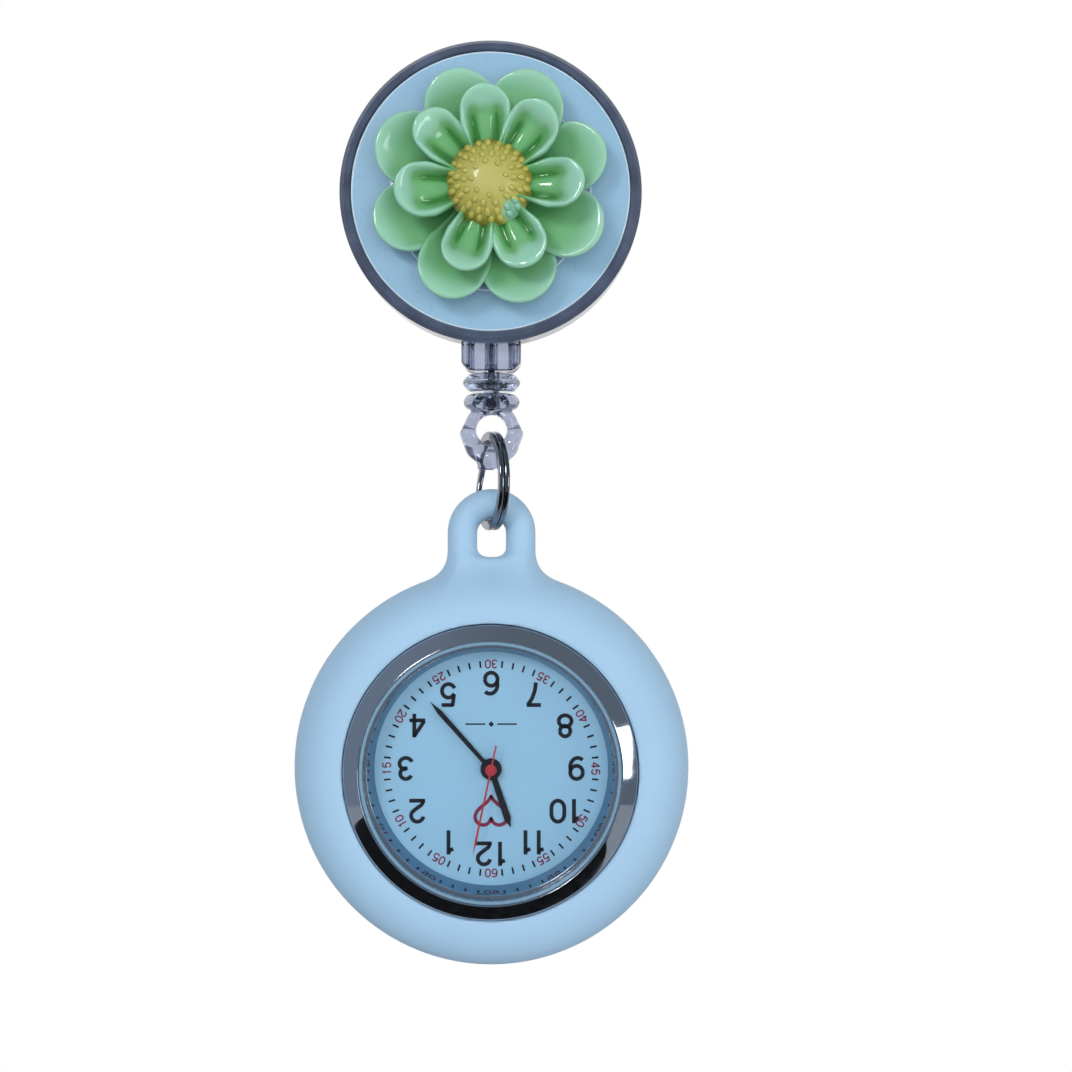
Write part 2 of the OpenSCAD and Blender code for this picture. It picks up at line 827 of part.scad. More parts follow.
module intermediate_wheel() {
    at = polar(train_c, inter_a);
    color("#c9a24f") at_watch() translate([at[0], at[1], 0]) {
        difference() {
            wheel(50, m_rotor, inter_z, inter_z + wheel_t);
            windows(5, 1.2, 0.45, -3, 0);
        }
        wheel(10, m_fourth, low_z, inter_z + 0.1, inter_turn);
        disc(0.13, -2.2, 0);
    }
}

function rotor_at() = polar(train_c, inter_a) + polar(rotor_c, rotor_a);

module rotor() {
    color("#5a5f68") at_watch() translate([rotor_at()[0], rotor_at()[1], 0]) {
        wheel(10, m_rotor, inter_z, inter_z + wheel_t, rotor_turn);
        disc(0.2, inter_z, centre_z);
        disc(0.8, -0.8, -0.4);
        disc(0.12, -2.2, 0);
    }
}

// ---- the rest of the movement ----

module stator() {
    color("#9da3ac") at_watch() difference() {
        bar(2.7, 7.2, -6.3, -2.3, -0.75, -0.45);
        translate([rotor_at()[0], rotor_at()[1], 0]) disc(1, -2, 1);
        translate([6.2, -3.3, 0]) disc(0.4, -2, 1);
    }
}

module coil() {
    color("#b5673a") at_watch() translate([0, -7.6, -1.2]) {
        rod_x(0.9, -0.1, 5.3);
        rod_x(0.95, -0.3, -0.1);
        rod_x(0.95, 5.3, 5.5);
        bar(-0.9, 5.9, -0.5, 0.5, -0.15, 0.15);
    }
}

module circuit_board() {
    color("#2f6b4f") at_watch() difference() {
        bar(3.3, 8, 0.6, 5.6, -0.75, -0.45);
        translate([7.2, 4.8, 0]) disc(0.4, -2, 1);
    }
}

module quartz_can() {
    color("#c7ccd3") at_watch() translate([5.6, 0.8, -1.5]) rotate([-90, 0, 0]) {
        cylinder(r = 0.7, h = 4.2);
        translate([0, 0, 4.1]) cylinder(r = 0.6, h = 0.4);
    }
}

module battery() {
    color("#cfd3d8") at_watch() translate([battery_x, battery_x, 0]) {
        disc(cell_d / 2, -2.1, -0.3);
        disc(cell_d / 2 - 0.5, -2.45, -2);
    }
}

module battery_contact() {
    color("#c9b36a") at_watch() {
        translate([battery_x, battery_x, 0]) disc(1.3, -2.68, -2.48);
        bar(battery_x, -1.5, battery_x - 0.6, battery_x + 0.3, -2.68, -2.48);
    }
}

module main_plate() {
    centre_bore = 0.38 + run_gap;
    stud = polar(motion_c, motion_a);
    third = polar(train_c, third_a);
    inter = polar(train_c, inter_a);
    lever_at = [-7.45, 2.4];
    color("#cfc49a") at_watch() {
        difference() {
            disc(plate_r, -0.2, 0.9);
            disc(2.6, 0.2, 2);
            translate([stud[0], stud[1], 0]) disc(2.3, 0.2, 2);
            disc(centre_bore, -1, 1);
            translate([third[0], third[1], 0]) disc(0.14 + 0.04, -1, 0.1);
            translate([inter[0], inter[1], 0]) disc(0.13 + 0.04, -1, 0.1);
            translate([rotor_at()[0], rotor_at()[1], 0]) disc(0.12 + 0.04, -1, 0.1);
        }
        translate([stud[0], stud[1], 0]) disc(0.2, 0.1, 1.1);
        translate([lever_at[0], lever_at[1], 0]) disc(0.25, -0.75, 0);
    }
}

module train_bridge() {
    posts = [[4.9, -0.9], [-3.75, 1.9], [-0.6, -4.5]];
    third = polar(train_c, third_a);
    inter = polar(train_c, inter_a);
    color("#cfc49a") at_watch() {
        difference() {
            translate([0.6, 0.4, 0]) disc(5.4, -2.3, -1.9);
            translate([battery_x, battery_x, 0]) disc(3.65, -3, 0);
            translate([4.9, 0.6, -5]) cube([4, 6, 4]);
            disc(0.15 + 0.04, -3, 0);
            translate([third[0], third[1], 0]) disc(0.14 + 0.04, -3, 0);
            translate([inter[0], inter[1], 0]) disc(0.13 + 0.04, -3, 0);
            translate([rotor_at()[0], rotor_at()[1], 0]) disc(0.12 + 0.04, -3, 0);
        }
        for (post = posts) {
            translate([post[0], post[1], 0]) disc(0.4, -2, -0.22);
        }
    }
}

module bridge_screws() {
    posts = [[4.9, -0.9], [-3.75, 1.9], [-0.6, -4.5]];
    color("#9da3ac") at_watch() for (post = posts) {
        translate([post[0], post[1], 0]) difference() {
            disc(0.6, -2.58, -2.32);
            bar(-0.5, 0.5, -0.08, 0.08, -2.7, -2.48);
        }
    }
}

module stem() {
    color("#b9bdc4") at_watch() translate([0, 0, stem_z]) {
        rod_x(0.35, -6.3, -4.2);
        rod_x(0.5, -7, -6.2);
        rod_x(0.25, -8, -6.9);
        rod_x(0.5, -16.9, -7.9);
    }
}

module crown() {
    r = crown_d / 2;
    teeth = 24;
    length = 2.05;
    color("#c2c6cc") at_watch() translate([crown_end + length, 0, stem_z]) rotate([0, -90, 0]) difference() {
        union() {
            linear_extrude(height = length - 0.35) polygon([for (i = [0 : 2 * teeth - 1])
                polar(i % 2 == 0 ? r : r - 0.12, i * 180 / teeth)]);
            translate([0, 0, length - 0.45]) cylinder(r1 = r - 0.12, r2 = r - 0.5, h = 0.45);
        }
        translate([0, 0, -1]) cylinder(r = 0.5 + eps, h = 1.37);
    }
}

module clutch_wheel() {
    color("#b9bdc4") at_watch() translate([0, 0, stem_z]) rotate([0, -90, 0]) difference() {
        wheel(18, 0.09, 5.15, 5.9);
        disc(0.35 + run_gap, 0, 10);
    }
}

module setting_lever() {
    pivot_x = -7.45;
    pivot_y = 2.4;
    color("#9da3ac") at_watch() difference() {
        union() {
            translate([pivot_x, pivot_y, 0]) disc(0.7, -0.55, -0.3);
            bar(pivot_x - 0.45, pivot_x + 0.45, 0, pivot_y, -0.55, -0.3);
            translate([pivot_x, 0, 0]) disc(0.45, -0.55, -0.3);
            translate([pivot_x, 0, 0]) disc(0.22, -0.82, -0.5);
        }
        translate([pivot_x, pivot_y, 0]) disc(0.25 + run_gap, -2, 1);
    }
}

clip_base();
clip_lever();
clip_pin();
clip_spring();
swivel_rivet();
reel_back_shell();
reel_front_shell();
hub_screw();
insert_disc();
flower_pad();
flower_outer_petals();
flower_inner_petals();
flower_centre();
cord_guide();
power_spring();
spool();
cord_winding();
cord_lead();
cord_run();
stop_cap();
eye_lug();
cord_knot();
split_ring();
silicone_sleeve();
bezel();
case_middle();
crystal();
crystal_gasket();
dial_ring();
dial();
hour_hand();
minute_hand();
second_hand();
hour_wheel();
minute_wheel();
centre_wheel();
third_wheel();
fourth_wheel();
intermediate_wheel();
rotor();
stator();
coil();
circuit_board();
quartz_can();
battery();
battery_contact();
main_plate();
train_bridge();
bridge_screws();
stem();
crown();
clutch_wheel();
setting_lever();
movement_holder();
case_back();
back_gasket();
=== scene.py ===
"""A nurse's fob watch on a retractable reel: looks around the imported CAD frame."""
import math
import random

import bmesh
import bpy
import numpy as np
from mathutils import Matrix, Vector


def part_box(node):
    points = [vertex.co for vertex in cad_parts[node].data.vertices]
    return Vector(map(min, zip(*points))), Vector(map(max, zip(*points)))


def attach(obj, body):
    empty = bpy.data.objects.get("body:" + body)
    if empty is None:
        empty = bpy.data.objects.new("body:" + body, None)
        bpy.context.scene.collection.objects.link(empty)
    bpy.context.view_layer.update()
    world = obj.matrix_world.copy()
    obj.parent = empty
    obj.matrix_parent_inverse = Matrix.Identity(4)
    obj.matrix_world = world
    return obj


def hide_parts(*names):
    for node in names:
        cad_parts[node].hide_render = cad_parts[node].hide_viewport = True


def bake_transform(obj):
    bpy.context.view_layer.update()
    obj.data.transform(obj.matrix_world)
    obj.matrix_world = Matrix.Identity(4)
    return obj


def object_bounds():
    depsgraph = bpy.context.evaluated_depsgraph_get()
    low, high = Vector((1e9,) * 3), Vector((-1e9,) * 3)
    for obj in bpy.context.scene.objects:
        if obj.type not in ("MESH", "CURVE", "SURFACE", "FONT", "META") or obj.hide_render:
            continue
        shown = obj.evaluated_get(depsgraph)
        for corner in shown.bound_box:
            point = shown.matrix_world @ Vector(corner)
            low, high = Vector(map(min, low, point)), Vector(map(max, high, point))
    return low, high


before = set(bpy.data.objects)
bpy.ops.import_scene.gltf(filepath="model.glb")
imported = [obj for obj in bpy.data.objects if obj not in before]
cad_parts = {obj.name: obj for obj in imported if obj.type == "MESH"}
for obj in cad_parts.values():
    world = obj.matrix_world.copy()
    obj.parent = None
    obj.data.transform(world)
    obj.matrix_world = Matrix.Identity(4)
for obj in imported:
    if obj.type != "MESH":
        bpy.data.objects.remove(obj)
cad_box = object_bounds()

MM = 0.001
TAU = 2 * math.pi


# ---- places, all taken from the frame ----


def middle(node):
    low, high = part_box(node)
    return (low + high) / 2


class Place:
    """Drawing coordinates in mm about a point: x right, y up, z towards the viewer."""

    def __init__(self, origin):
        self.origin = Vector(origin)

    def __call__(self, x, y, z=0.0):
        return self.origin + Vector((x, -z, y)) * MM


REEL = Place((0, 0, middle("insert_disc").z))
CORD = Place((0, middle("cord_run").y, middle("insert_disc").z))
WATCH = Place((0, middle("cord_run").y, middle("case_middle").z))


def front_of(node):
    """How far a node's front stands out of the clip's jaws, in mm."""
    return -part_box(node)[0].y / MM


def half_width(node):
    low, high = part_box(node)
    return (high.x - low.x) / 2 / MM


def back_of(node):
    """How far a node's back stands out of the clip's jaws, in mm."""
    return -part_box(node)[1].y / MM


def cord_span(node):
    """The foot and the top of a node that hangs on the cord, in CORD's mm."""
    low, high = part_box(node)
    return (low.z - CORD.origin.z) / MM, (high.z - CORD.origin.z) / MM


# ---- the camera and the light ----

CAMERA_SIDE = 4.8
CAMERA_DROP = 3.1
CAMERA_AWAY = 190
LENS = 56.6
ROOM_LEFT = (0.21, 0.26, 0.33, 1)
ROOM_RIGHT = (0.15, 0.18, 0.22, 1)
FLOOR_HEIGHT = -0.76
FLAG_HEIGHT = -0.74

SCENE = bpy.context.scene
SCENE.view_settings.view_transform = "Standard"


def make_camera():
    low, high = cad_box
    data = bpy.data.cameras.new("camera")
    data.lens = LENS
    data.sensor_width = 36
    data.clip_start = 0.005
    camera = bpy.data.objects.new("camera", data)
    camera.location = ((low.x + high.x) / 2 + CAMERA_SIDE * MM, -CAMERA_AWAY * MM,
                       (low.z + high.z) / 2 - CAMERA_DROP * MM)
    camera.rotation_euler = (math.radians(90), 0, 0)
    SCENE.collection.objects.link(camera)
    SCENE.camera = camera


def soft_light(name, place, target, size, watts, colour):
    data = bpy.data.lights.new(name, "AREA")
    data.shape = "RECTANGLE"
    data.size, data.size_y = size
    data.energy = watts
    data.color = colour
    light = bpy.data.objects.new(name, data)
    light.location = place
    light.rotation_euler = (Vector(target) - Vector(place)).to_track_quat("-Z", "Y").to_euler()
    SCENE.collection.objects.link(light)
    return light


def add_node(tree, kind, inputs=None, **settings):
    """A shader node with its settings. An input is a value to set, or another node's socket to link."""
    node = tree.nodes.new("ShaderNode" + kind)
    for name, value in settings.items():
        setattr(node, name, value)
    for name, value in (inputs or {}).items():
        if isinstance(value, bpy.types.NodeSocket):
            tree.links.new(value, node.inputs[name])
        else:
            node.inputs[name].default_value = value
    return node


def map_range(tree, value, low, high, to_low=0.0, to_high=1.0, **settings):
    """Carries a value from one range to another."""
    inputs = {"Value": value, "From Min": low, "From Max": high, "To Min": to_low, "To Max": to_high}
    return add_node(tree, "MapRange", inputs, **settings).outputs[0]


def colour_mix(tree, factor, a, b, **settings):
    inputs = {"Factor": factor, "A": a, "B": b}
    return add_node(tree, "Mix", inputs, data_type="RGBA", **settings).outputs["Result"]


def fade(tree, value, low, high, below, above):
    """One colour where a value is low and another where it is high, with a smooth change between."""
    return colour_mix(tree, map_range(tree, value, low, high, interpolation_type="SMOOTHSTEP"), below, above)


def make_room():
    """White behind the object, and a dim room in front of it that is lighter on the left."""
    world = bpy.data.worlds.new("studio")
    SCENE.world = world
    world.use_nodes = True
    tree = world.node_tree
    coords = add_node(tree, "TexCoord").outputs["Generated"]
    split = add_node(tree, "SeparateXYZ", {"Vector": coords})
    room = fade(tree, split.outputs["X"], -0.7, 0.2, ROOM_LEFT, ROOM_RIGHT)
    whole = fade(tree, split.outputs["Y"], 0.1, 0.6, room, (1, 1, 1, 1))
    tree.links.new(whole, tree.nodes["Background"].inputs["Color"])


def make_lamps():
    """A small key, a broad fill without glints, and two lamps at the right: one for gloss, one for tone."""
    aim = middle("cord_knot")
    side = middle("bezel")
    soft_light("key", (-0.2, -0.42, 0.16), aim, (0.11, 0.11), 0.72, (0.97, 0.98, 1))
    fill = soft_light("fill", (0.08, -0.55, 0.0), aim, (0.5, 0.5), 1.85, (0.95, 0.97, 1))
    fill.visible_glossy = False
    strip = soft_light("side", (0.40, -0.33, side.z), side, (0.16, 0.17), 0.35, (0.96, 0.98, 1))
    strip.visible_diffuse = False
    lift = soft_light("lift", (0.40, -0.30, -0.02), side, (0.25, 0.25), 0.55, (0.96, 0.98, 1))
    lift.visible_glossy = False


def stage_sheet(name, width, depth, place, mat):
    """A flat round sheet of the studio, stretched to a width and a depth in metres."""
    bm = bmesh.new()
    bmesh.ops.create_circle(bm, cap_ends=True, segments=96, radius=0.5)
    mesh = bpy.data.meshes.new(name)
    bm.to_mesh(mesh)
    bm.free()
    mesh.materials.append(mat)
    sheet = bpy.data.objects.new(name, mesh)
    sheet.scale = (width, depth, 1)
    sheet.location = place
    SCENE.collection.objects.link(sheet)
    return sheet


def make_floor():
    """A pale floor below the lowest reach of the pulled watch, and a dark sheet that only gloss sees."""
    pale = surface("studio_floor", (236, 238, 240), 0.6, grain=40, depth=0.02, vary=0.01)
    stage_sheet("floor", 4, 4, (0, 0, FLOOR_HEIGHT), pale)
    dark = surface("studio_flag", (9, 10, 12), 0.9, grain=60, depth=0.05, vary=0.05)
    flag = stage_sheet("flag", 2.4, 1.5, (-0.2, -0.95, FLAG_HEIGHT), dark)
    flag.visible_camera = False
    flag.visible_diffuse = False
    flag.visible_shadow = False
    flag.visible_transmission = False


# ---- materials ----

# How much cloud lies over the colours of real tone with painted shade and painted highlight
TONE_AND_SHADE_CLOUD = 0.25
WEAR_FROM, WEAR_TO = 0.52, 0.62
BUMP_HEIGHT = 0.1 * MM


def linear(colour):
    """An sRGB colour of 0 to 255 as the linear values a shader takes."""
    out = []
    for c in colour:
        c = c / 255
        out.append(c / 12.92 if c <= 0.04045 else ((c + 0.055) / 1.055) ** 2.4)
    return (*out, 1)


def shifted(colour, share):
    return tuple(min(255, max(0, c * (1 + share))) for c in colour)


def noise(tree, coords, scale, detail, stretch):
    """Cloudy grey values, drawn out along an axis where stretch is small."""
    if stretch:
        coords = add_node(tree, "Mapping", {"Vector": coords, "Scale": stretch}).outputs[0]
    return add_node(tree, "TexNoise", {"Vector": coords, "Scale": scale, "Detail": detail}).outputs["Fac"]


def tint_colour(tree, tint, clouds):
    """The colours for a mesh's own per-point attribute, which holds real tone together with painted shade and
    painted highlight, with a little cloud over them.
    """
    attribute = add_node(tree, "Attribute", attribute_name="tint")
    ramp = add_node(tree, "ValToRGB", {0: attribute.outputs["Fac"]})
    stops = ramp.color_ramp.elements
    ramp.color_ramp.interpolation = "EASE"
    while len(stops) < len(tint):
        stops.new(0.5)
    for stop, (at, shade) in zip(stops, tint):
        stop.position = at
        stop.color = linear(shade)
    return colour_mix(tree, TONE_AND_SHADE_CLOUD, ramp.outputs[0], clouds, blend_type="SOFT_LIGHT")


def worn_colour(tree, wear, colour, clouds):
    """A colour with patches of another on the mesh's sharp outer edges."""
    edge = map_range(tree, add_node(tree, "NewGeometry").outputs["Pointiness"], WEAR_FROM, WEAR_TO)
    patchy = add_node(tree, "Math", {0: edge, 1: clouds}, operation="MULTIPLY").outputs[0]
    return colour_mix(tree, patchy, colour, linear(wear))


def turned_rings(tree, coords, half_pitch):
    """Heights of fine circles about the watch's middle."""
    centred = add_node(tree, "Mapping", {"Vector": coords, "Location": (0, 0, -WATCH.origin.z)}).outputs[0]
    scale = 1 / (half_pitch * MM) / 20 * TAU / 2
    inputs = {"Vector": centred, "Scale": scale, "Distortion": 0.4}
    return add_node(tree, "TexWave", inputs, wave_type="RINGS", rings_direction="Y").outputs["Fac"]


def surface(name, colour, rough, metal=0.0, grain=900, depth=0.05, vary=0.05, cloud=90, stretch=None,
            rough_vary=0.3, wear=None, tint=None, rings=None, **sockets):
    """A procedural material: cloudy colour, grainy roughness, fine bump, and optional edge wear.

    The optional ramp gives the colours for a mesh's own per-point attribute from 0 to 1, real tone with
    painted shade and painted highlight, rings is half the pitch in mm of turned circles, and sockets sets the
    shader's own inputs.
    """
    mat = bpy.data.materials.new(name)
    mat.use_nodes = True
    tree = mat.node_tree
    shader = tree.nodes["Principled BSDF"]
    shader.inputs["Metallic"].default_value = metal
    for socket, value in sockets.items():
        shader.inputs[socket.replace("_", " ")].default_value = value
    coords = add_node(tree, "TexCoord").outputs["Object"]
    clouds = noise(tree, coords, cloud, 4, stretch)
    fine = noise(tree, coords, grain, 6, stretch)
    result = colour_mix(tree, clouds, linear(shifted(colour, -vary)), linear(shifted(colour, vary)))
    if tint:
        result = tint_colour(tree, tint, clouds)
    if wear:
        result = worn_colour(tree, wear, result, clouds)
    tree.links.new(result, shader.inputs["Base Color"])
    spread = map_range(tree, fine, 0.3, 0.7, rough * (1 - rough_vary), rough * (1 + rough_vary))
    tree.links.new(spread, shader.inputs["Roughness"])
    height = turned_rings(tree, coords, rings) if rings else fine
    bump = add_node(tree, "Bump", {"Strength": depth, "Distance": BUMP_HEIGHT, "Height": height})
    tree.links.new(bump.outputs[0], shader.inputs["Normal"])
    return mat


def pane_index(tree, ior):
    """An index that mirrors no more on light's way out than on its way in, so a pane stays clear aslant."""
    back = add_node(tree, "NewGeometry").outputs["Backfacing"]
    return add_node(tree, "Math", {0: back, 1: 1 / ior - ior, 2: ior}, operation="MULTIPLY_ADD").outputs[0]


def see_through(name, colour, share, rough, gloss_ior=1.45, grain=500, pane=False, **how):
    """Clear plastic that lets straight light through: a tinted clear layer under a glossy skin."""
    mat = surface(name, colour, rough, grain=grain, **how)
    tree = mat.node_tree
    shader = tree.nodes["Principled BSDF"]
    shader.inputs["IOR"].default_value = gloss_ior
    clear = add_node(tree, "BsdfTransparent", {"Color": linear(shifted(colour, 0.35))})
    fresnel = add_node(tree, "Fresnel", {"IOR": pane_index(tree, gloss_ior) if pane else gloss_ior})
    skin_share = add_node(tree, "Math", {0: fresnel.outputs[0], 1: share}, operation="ADD", use_clamp=True)
    mix = add_node(tree, "MixShader", {0: skin_share.outputs[0], 1: clear.outputs[0], 2: shader.outputs[0]})
    tree.links.new(mix.outputs[0], tree.nodes["Material Output"].inputs["Surface"])
    return mat


SILICONE = surface("silicone_blue", (166, 199, 222), 0.66, grain=2600, depth=0.12, vary=0.015,
                   Subsurface_Weight=0.12, Subsurface_Scale=0.0015, Sheen_Weight=0.05)
CHROME = surface("chrome_bezel", (196, 202, 212), 0.06, 1.0, grain=700, depth=0.015, vary=0.02,
                 rough_vary=0.6)
MIRROR = surface("mirror_ring", (120, 146, 166), 0.09, 1.0, depth=0.02, vary=0.02)
STEEL = surface("steel", (186, 190, 198), 0.24, 1.0, grain=1600, depth=0.08,
                stretch=(1, 1, 0.15), wear=(226, 228, 232))
TURNED = surface("turned_steel", (190, 193, 200), 0.24, 1.0, grain=1200, depth=0.10, vary=0.04, rings=0.5)
SPRING = surface("spring_steel", (150, 154, 162), 0.3, 1.0, grain=1400, depth=0.08, vary=0.08)
RING_STEEL = surface("ring_steel", (128, 132, 140), 0.14, 1.0, depth=0.06, vary=0.12,
                     wear=(214, 216, 220))
DISC_BLUE = surface("pale_blue_plastic", (143, 182, 206), 0.34, grain=1500, depth=0.06, vary=0.02,
                    Subsurface_Weight=0.08, Subsurface_Scale=0.001)
# Pale paint for the painted highlight lines on the disc's and the pad's edges
PAINTED_EDGE_GLINT = surface("painted_edge_glint", (206, 222, 234), 0.2)
PAD = surface("pad_plastic", (128, 162, 182), 0.14, depth=0.04, vary=0.03, Coat_Weight=0.3)
# The ramps run from painted shade at 0 to painted highlight near 1, over real tone; the yellow's stop at 1 is
# its real green dab
OUTER = surface("petal_green", (139, 193, 160), 0.13, grain=700, vary=0.04,
                tint=[(0.0, (72, 138, 78)), (0.5, (116, 178, 124)), (1.0, (150, 202, 172))],
                Subsurface_Weight=0.2, Subsurface_Scale=0.0015, Coat_Weight=0.35)
INNER = surface("petal_pale_green", (150, 202, 176), 0.12, grain=700, vary=0.04,
                tint=[(0.0, (58, 124, 56)), (0.4, (106, 170, 108)), (1.0, (152, 204, 176))],
                Subsurface_Weight=0.2, Subsurface_Scale=0.0015, Coat_Weight=0.4)
YELLOW = surface("flower_yellow", (182, 176, 92), 0.4, depth=0.08,
                 tint=[(0.0, (148, 136, 54)), (0.5, (182, 172, 80)), (0.8, (184, 180, 98)),
                       (1.0, (140, 194, 164))],
                 Subsurface_Weight=0.15, Subsurface_Scale=0.001, Coat_Weight=0.4)
SMOKED = see_through("smoked_plastic", (72, 80, 98), 0.86, 0.1, grain=170, depth=0.6, vary=0.4, cloud=320)
CLEAR = surface("clear_plastic", (166, 174, 196), 0.05, grain=420, depth=0.35, vary=0.1, cloud=400,
                Transmission_Weight=0.97, IOR=1.6)
GLASS = see_through("crystal", (242, 246, 248), 0.0, 0.03, 1.42, metal=1.0, depth=0.02, pane=True)
BLACK_CORD = surface("black_cord", (26, 28, 38), 0.7, grain=5200, depth=0.5, vary=0.25, stretch=(1, 1, 0.4),
                     Sheen_Weight=0.4)
RED = surface("red_hand", (176, 34, 48), 0.3, grain=1500, Coat_Weight=0.3)
BLACK = surface("black_hands", (12, 13, 18), 0.25, grain=1600, vary=0.1, Coat_Weight=0.4)
DIAL = surface("dial_blue", (144, 191, 218), 0.42, grain=3000, depth=0.03, vary=0.025, cloud=60)
INK = surface("dial_ink", (6, 7, 22), 0.5, grain=2500, depth=0.1, vary=0.15)
RED_INK = surface("dial_red_ink", (126, 18, 56), 0.5, grain=2500, depth=0.1, vary=0.1)
WHITE = surface("white_plastic", (226, 229, 232), 0.38, grain=1300, depth=0.06, vary=0.03)
GASKET = surface("gasket_blue", (118, 150, 172), 0.25, grain=1300, vary=0.03)
BRASS = surface("brass", (201, 162, 84), 0.24, 1.0, grain=1500, depth=0.08, vary=0.06, wear=(232, 204, 140))
PLATE = surface("plate_metal", (203, 196, 160), 0.3, 1.0, grain=1500, depth=0.08,
                stretch=(1, 0.2, 1), wear=(228, 224, 200))
MAGNET = surface("magnet", (84, 88, 96), 0.4, 0.9, grain=1500, depth=0.1, vary=0.08)
COPPER = surface("copper_coil", (186, 108, 62), 0.3, 0.9, depth=0.3, vary=0.1, stretch=(8, 1, 1))
BOARD = surface("green_board", (44, 104, 76), 0.4, grain=1500, depth=0.1, vary=0.12)
RUBBER = surface("black_rubber", (34, 36, 42), 0.6, grain=2200, depth=0.15, vary=0.12)


# ---- mesh helpers ----


def add(name, bm, body, slot, mat, nodes=(), **finish):
    """Turns a bmesh in world metres into a piece that rides on a body."""
    bmesh.ops.recalc_face_normals(bm, faces=bm.faces)
    mesh = bpy.data.meshes.new(name)
    bm.to_mesh(mesh)
    bm.free()
    return dress_mesh(name, mesh, body, slot, mat, nodes, **finish)


def round_edges(obj, width, sharp):
    modifier = obj.modifiers.new("edges", "BEVEL")
    modifier.width = width * MM
    modifier.segments = 3
    modifier.limit_method = "ANGLE"
    modifier.angle_limit = math.radians(sharp)
    modifier.harden_normals = True


def dress_mesh(name, mesh, body, slot, mat, nodes=(), bevel=0.0, levels=0, sharp=40, tint=None):
    """Makes the object of a piece: bevel in mm, subdivision levels, sharp edges over an angle, and per-point
    values of real tone with painted shade and painted highlight.
    """
    mesh.materials.clear()
    mesh.materials.append(mat)
    mesh.polygons.foreach_set("use_smooth", [True] * len(mesh.polygons))
    mesh.set_sharp_from_angle(angle=math.radians(sharp))
    # Stores per-point values of real tone with painted shade and painted highlight for the material
    if tint:
        layer = mesh.attributes.new("tint", "FLOAT", "POINT")
        layer.data.foreach_set("value", tint)
    obj = bpy.data.objects.new(name, mesh)
    SCENE.collection.objects.link(obj)
    if bevel:
        round_edges(obj, bevel, sharp)
    if levels:
        modifier = obj.modifiers.new("smooth", "SUBSURF")
        modifier.levels = modifier.render_levels = levels
    if body:
        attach(obj, body)
    if nodes:
        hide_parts(*nodes)
    return obj


def curve_point(start, corner, end, t):
    """A point on the curve that leaves start and reaches end, drawn towards a corner."""
    return start * (1 - t) ** 2 + corner * 2 * t * (1 - t) + end * t * t


def rounded(points, radius, steps=4, axis=True):
    """A closed outline with its corners turned into arcs. Corners on the axis of a turned piece stay."""
    out = []
    count = len(points)
    for i, point in enumerate(points):
        here = Vector(point)
        before = Vector(points[i - 1]) - here
        after = Vector(points[(i + 1) % count]) - here
        if (axis and here.x < 1e-6) or radius <= 0:
            out.append(tuple(here))
            continue
        reach = min(radius, before.length * 0.45, after.length * 0.45)
        start, end = here + before.normalized() * reach, here + after.normalized() * reach
        out += [tuple(curve_point(start, here, end, k / steps)) for k in range(steps + 1)]
    return out


def lathe(place, profile, corner=0.1, turns=180):
    """A turned piece from a closed profile of (radius, z)."""
    points = rounded(profile, corner)
    bm = bmesh.new()
    rings = []
    for r, z in points:
        if r < 1e-6:
            rings.append([bm.verts.new(place(0, 0, z))] * turns)
        else:
            ring = [place(r * math.cos(k * TAU / turns), r * math.sin(k * TAU / turns), z)
                    for k in range(turns)]
            rings.append([bm.verts.new(p) for p in ring])
    for a, b in zip(rings, rings[1:] + rings[:1]):
        for k in range(turns):
            n = (k + 1) % turns
            corners = list(dict.fromkeys((a[k], a[n], b[n], b[k])))
            if len(corners) > 2:
                bm.faces.new(corners)
    return bm


def skin(bm, loops, closed=False):
    """Faces between loops of points that follow one another, with a cap at each end of an open run."""
    pairs = list(zip(loops, loops[1:]))
    if closed:
        pairs.append((loops[-1], loops[0]))
    for a, b in pairs:
        for k in range(len(a)):
            n = (k + 1) % len(a)
            bm.faces.new((a[k], a[n], b[n], b[k]))
    if not closed:
        bm.faces.new(loops[0][::-1])
        bm.faces.new(loops[-1])


def sweep(points, section, closed=False, up=None):
    """Carries a section along a path of world points.

    The section is a list of (side, out) in mm, or a function that gives one for the path's point i.
    """
    bm = bmesh.new()
    path = [Vector(p) for p in points]
    count = len(path)
    side = None
    loops = []
    for i, here in enumerate(path):
        before = path[i - 1] if i or closed else here
        after = path[(i + 1) % count] if i < count - 1 or closed else here
        along = (after - before).normalized()
        if up is not None:
            side = along.cross(up).normalized()
        elif side is None:
            side = along.orthogonal().normalized()
        else:
            side = (side - along * side.dot(along)).normalized()
        out = side.cross(along)
        shape = section(i) if callable(section) else section
        loops.append([bm.verts.new(here + side * a * MM + out * b * MM) for a, b in shape])
    skin(bm, loops, closed)
    return bm


def circle(radius, sides):
    return [(radius * math.cos(k * TAU / sides), radius * math.sin(k * TAU / sides)) for k in range(sides)]


def twisted(radius, pitch, step, sides=18):
    """A section for a cord of three twisted strands, for points a step apart."""
    def at(i):
        turn = i * step / pitch * TAU
        shape = []
        for k in range(sides):
            a = k * TAU / sides
            r = radius * (0.92 + 0.08 * math.cos(3 * a - turn))
            shape.append((r * math.cos(a), r * math.sin(a)))
        return shape
    return at


def join_into(bm, other):
    """Moves another bmesh into bm, and frees it."""
    mesh = bpy.data.meshes.new("joined")
    other.to_mesh(mesh)
    other.free()
    bm.from_mesh(mesh)
    bpy.data.meshes.remove(mesh)


def dress(node, name, body, slot, mat, bevel):
    """A node's own shape with its tessellation cleaned up and its edges rounded."""
    bm = bmesh.new()
    bm.from_mesh(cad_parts[node].data)
    bmesh.ops.remove_doubles(bm, verts=bm.verts, dist=1e-7)
    bmesh.ops.dissolve_limit(bm, angle_limit=math.radians(0.4), verts=bm.verts, edges=bm.edges)
    add(name, bm, body, slot, mat, (node,), bevel=bevel, sharp=30)


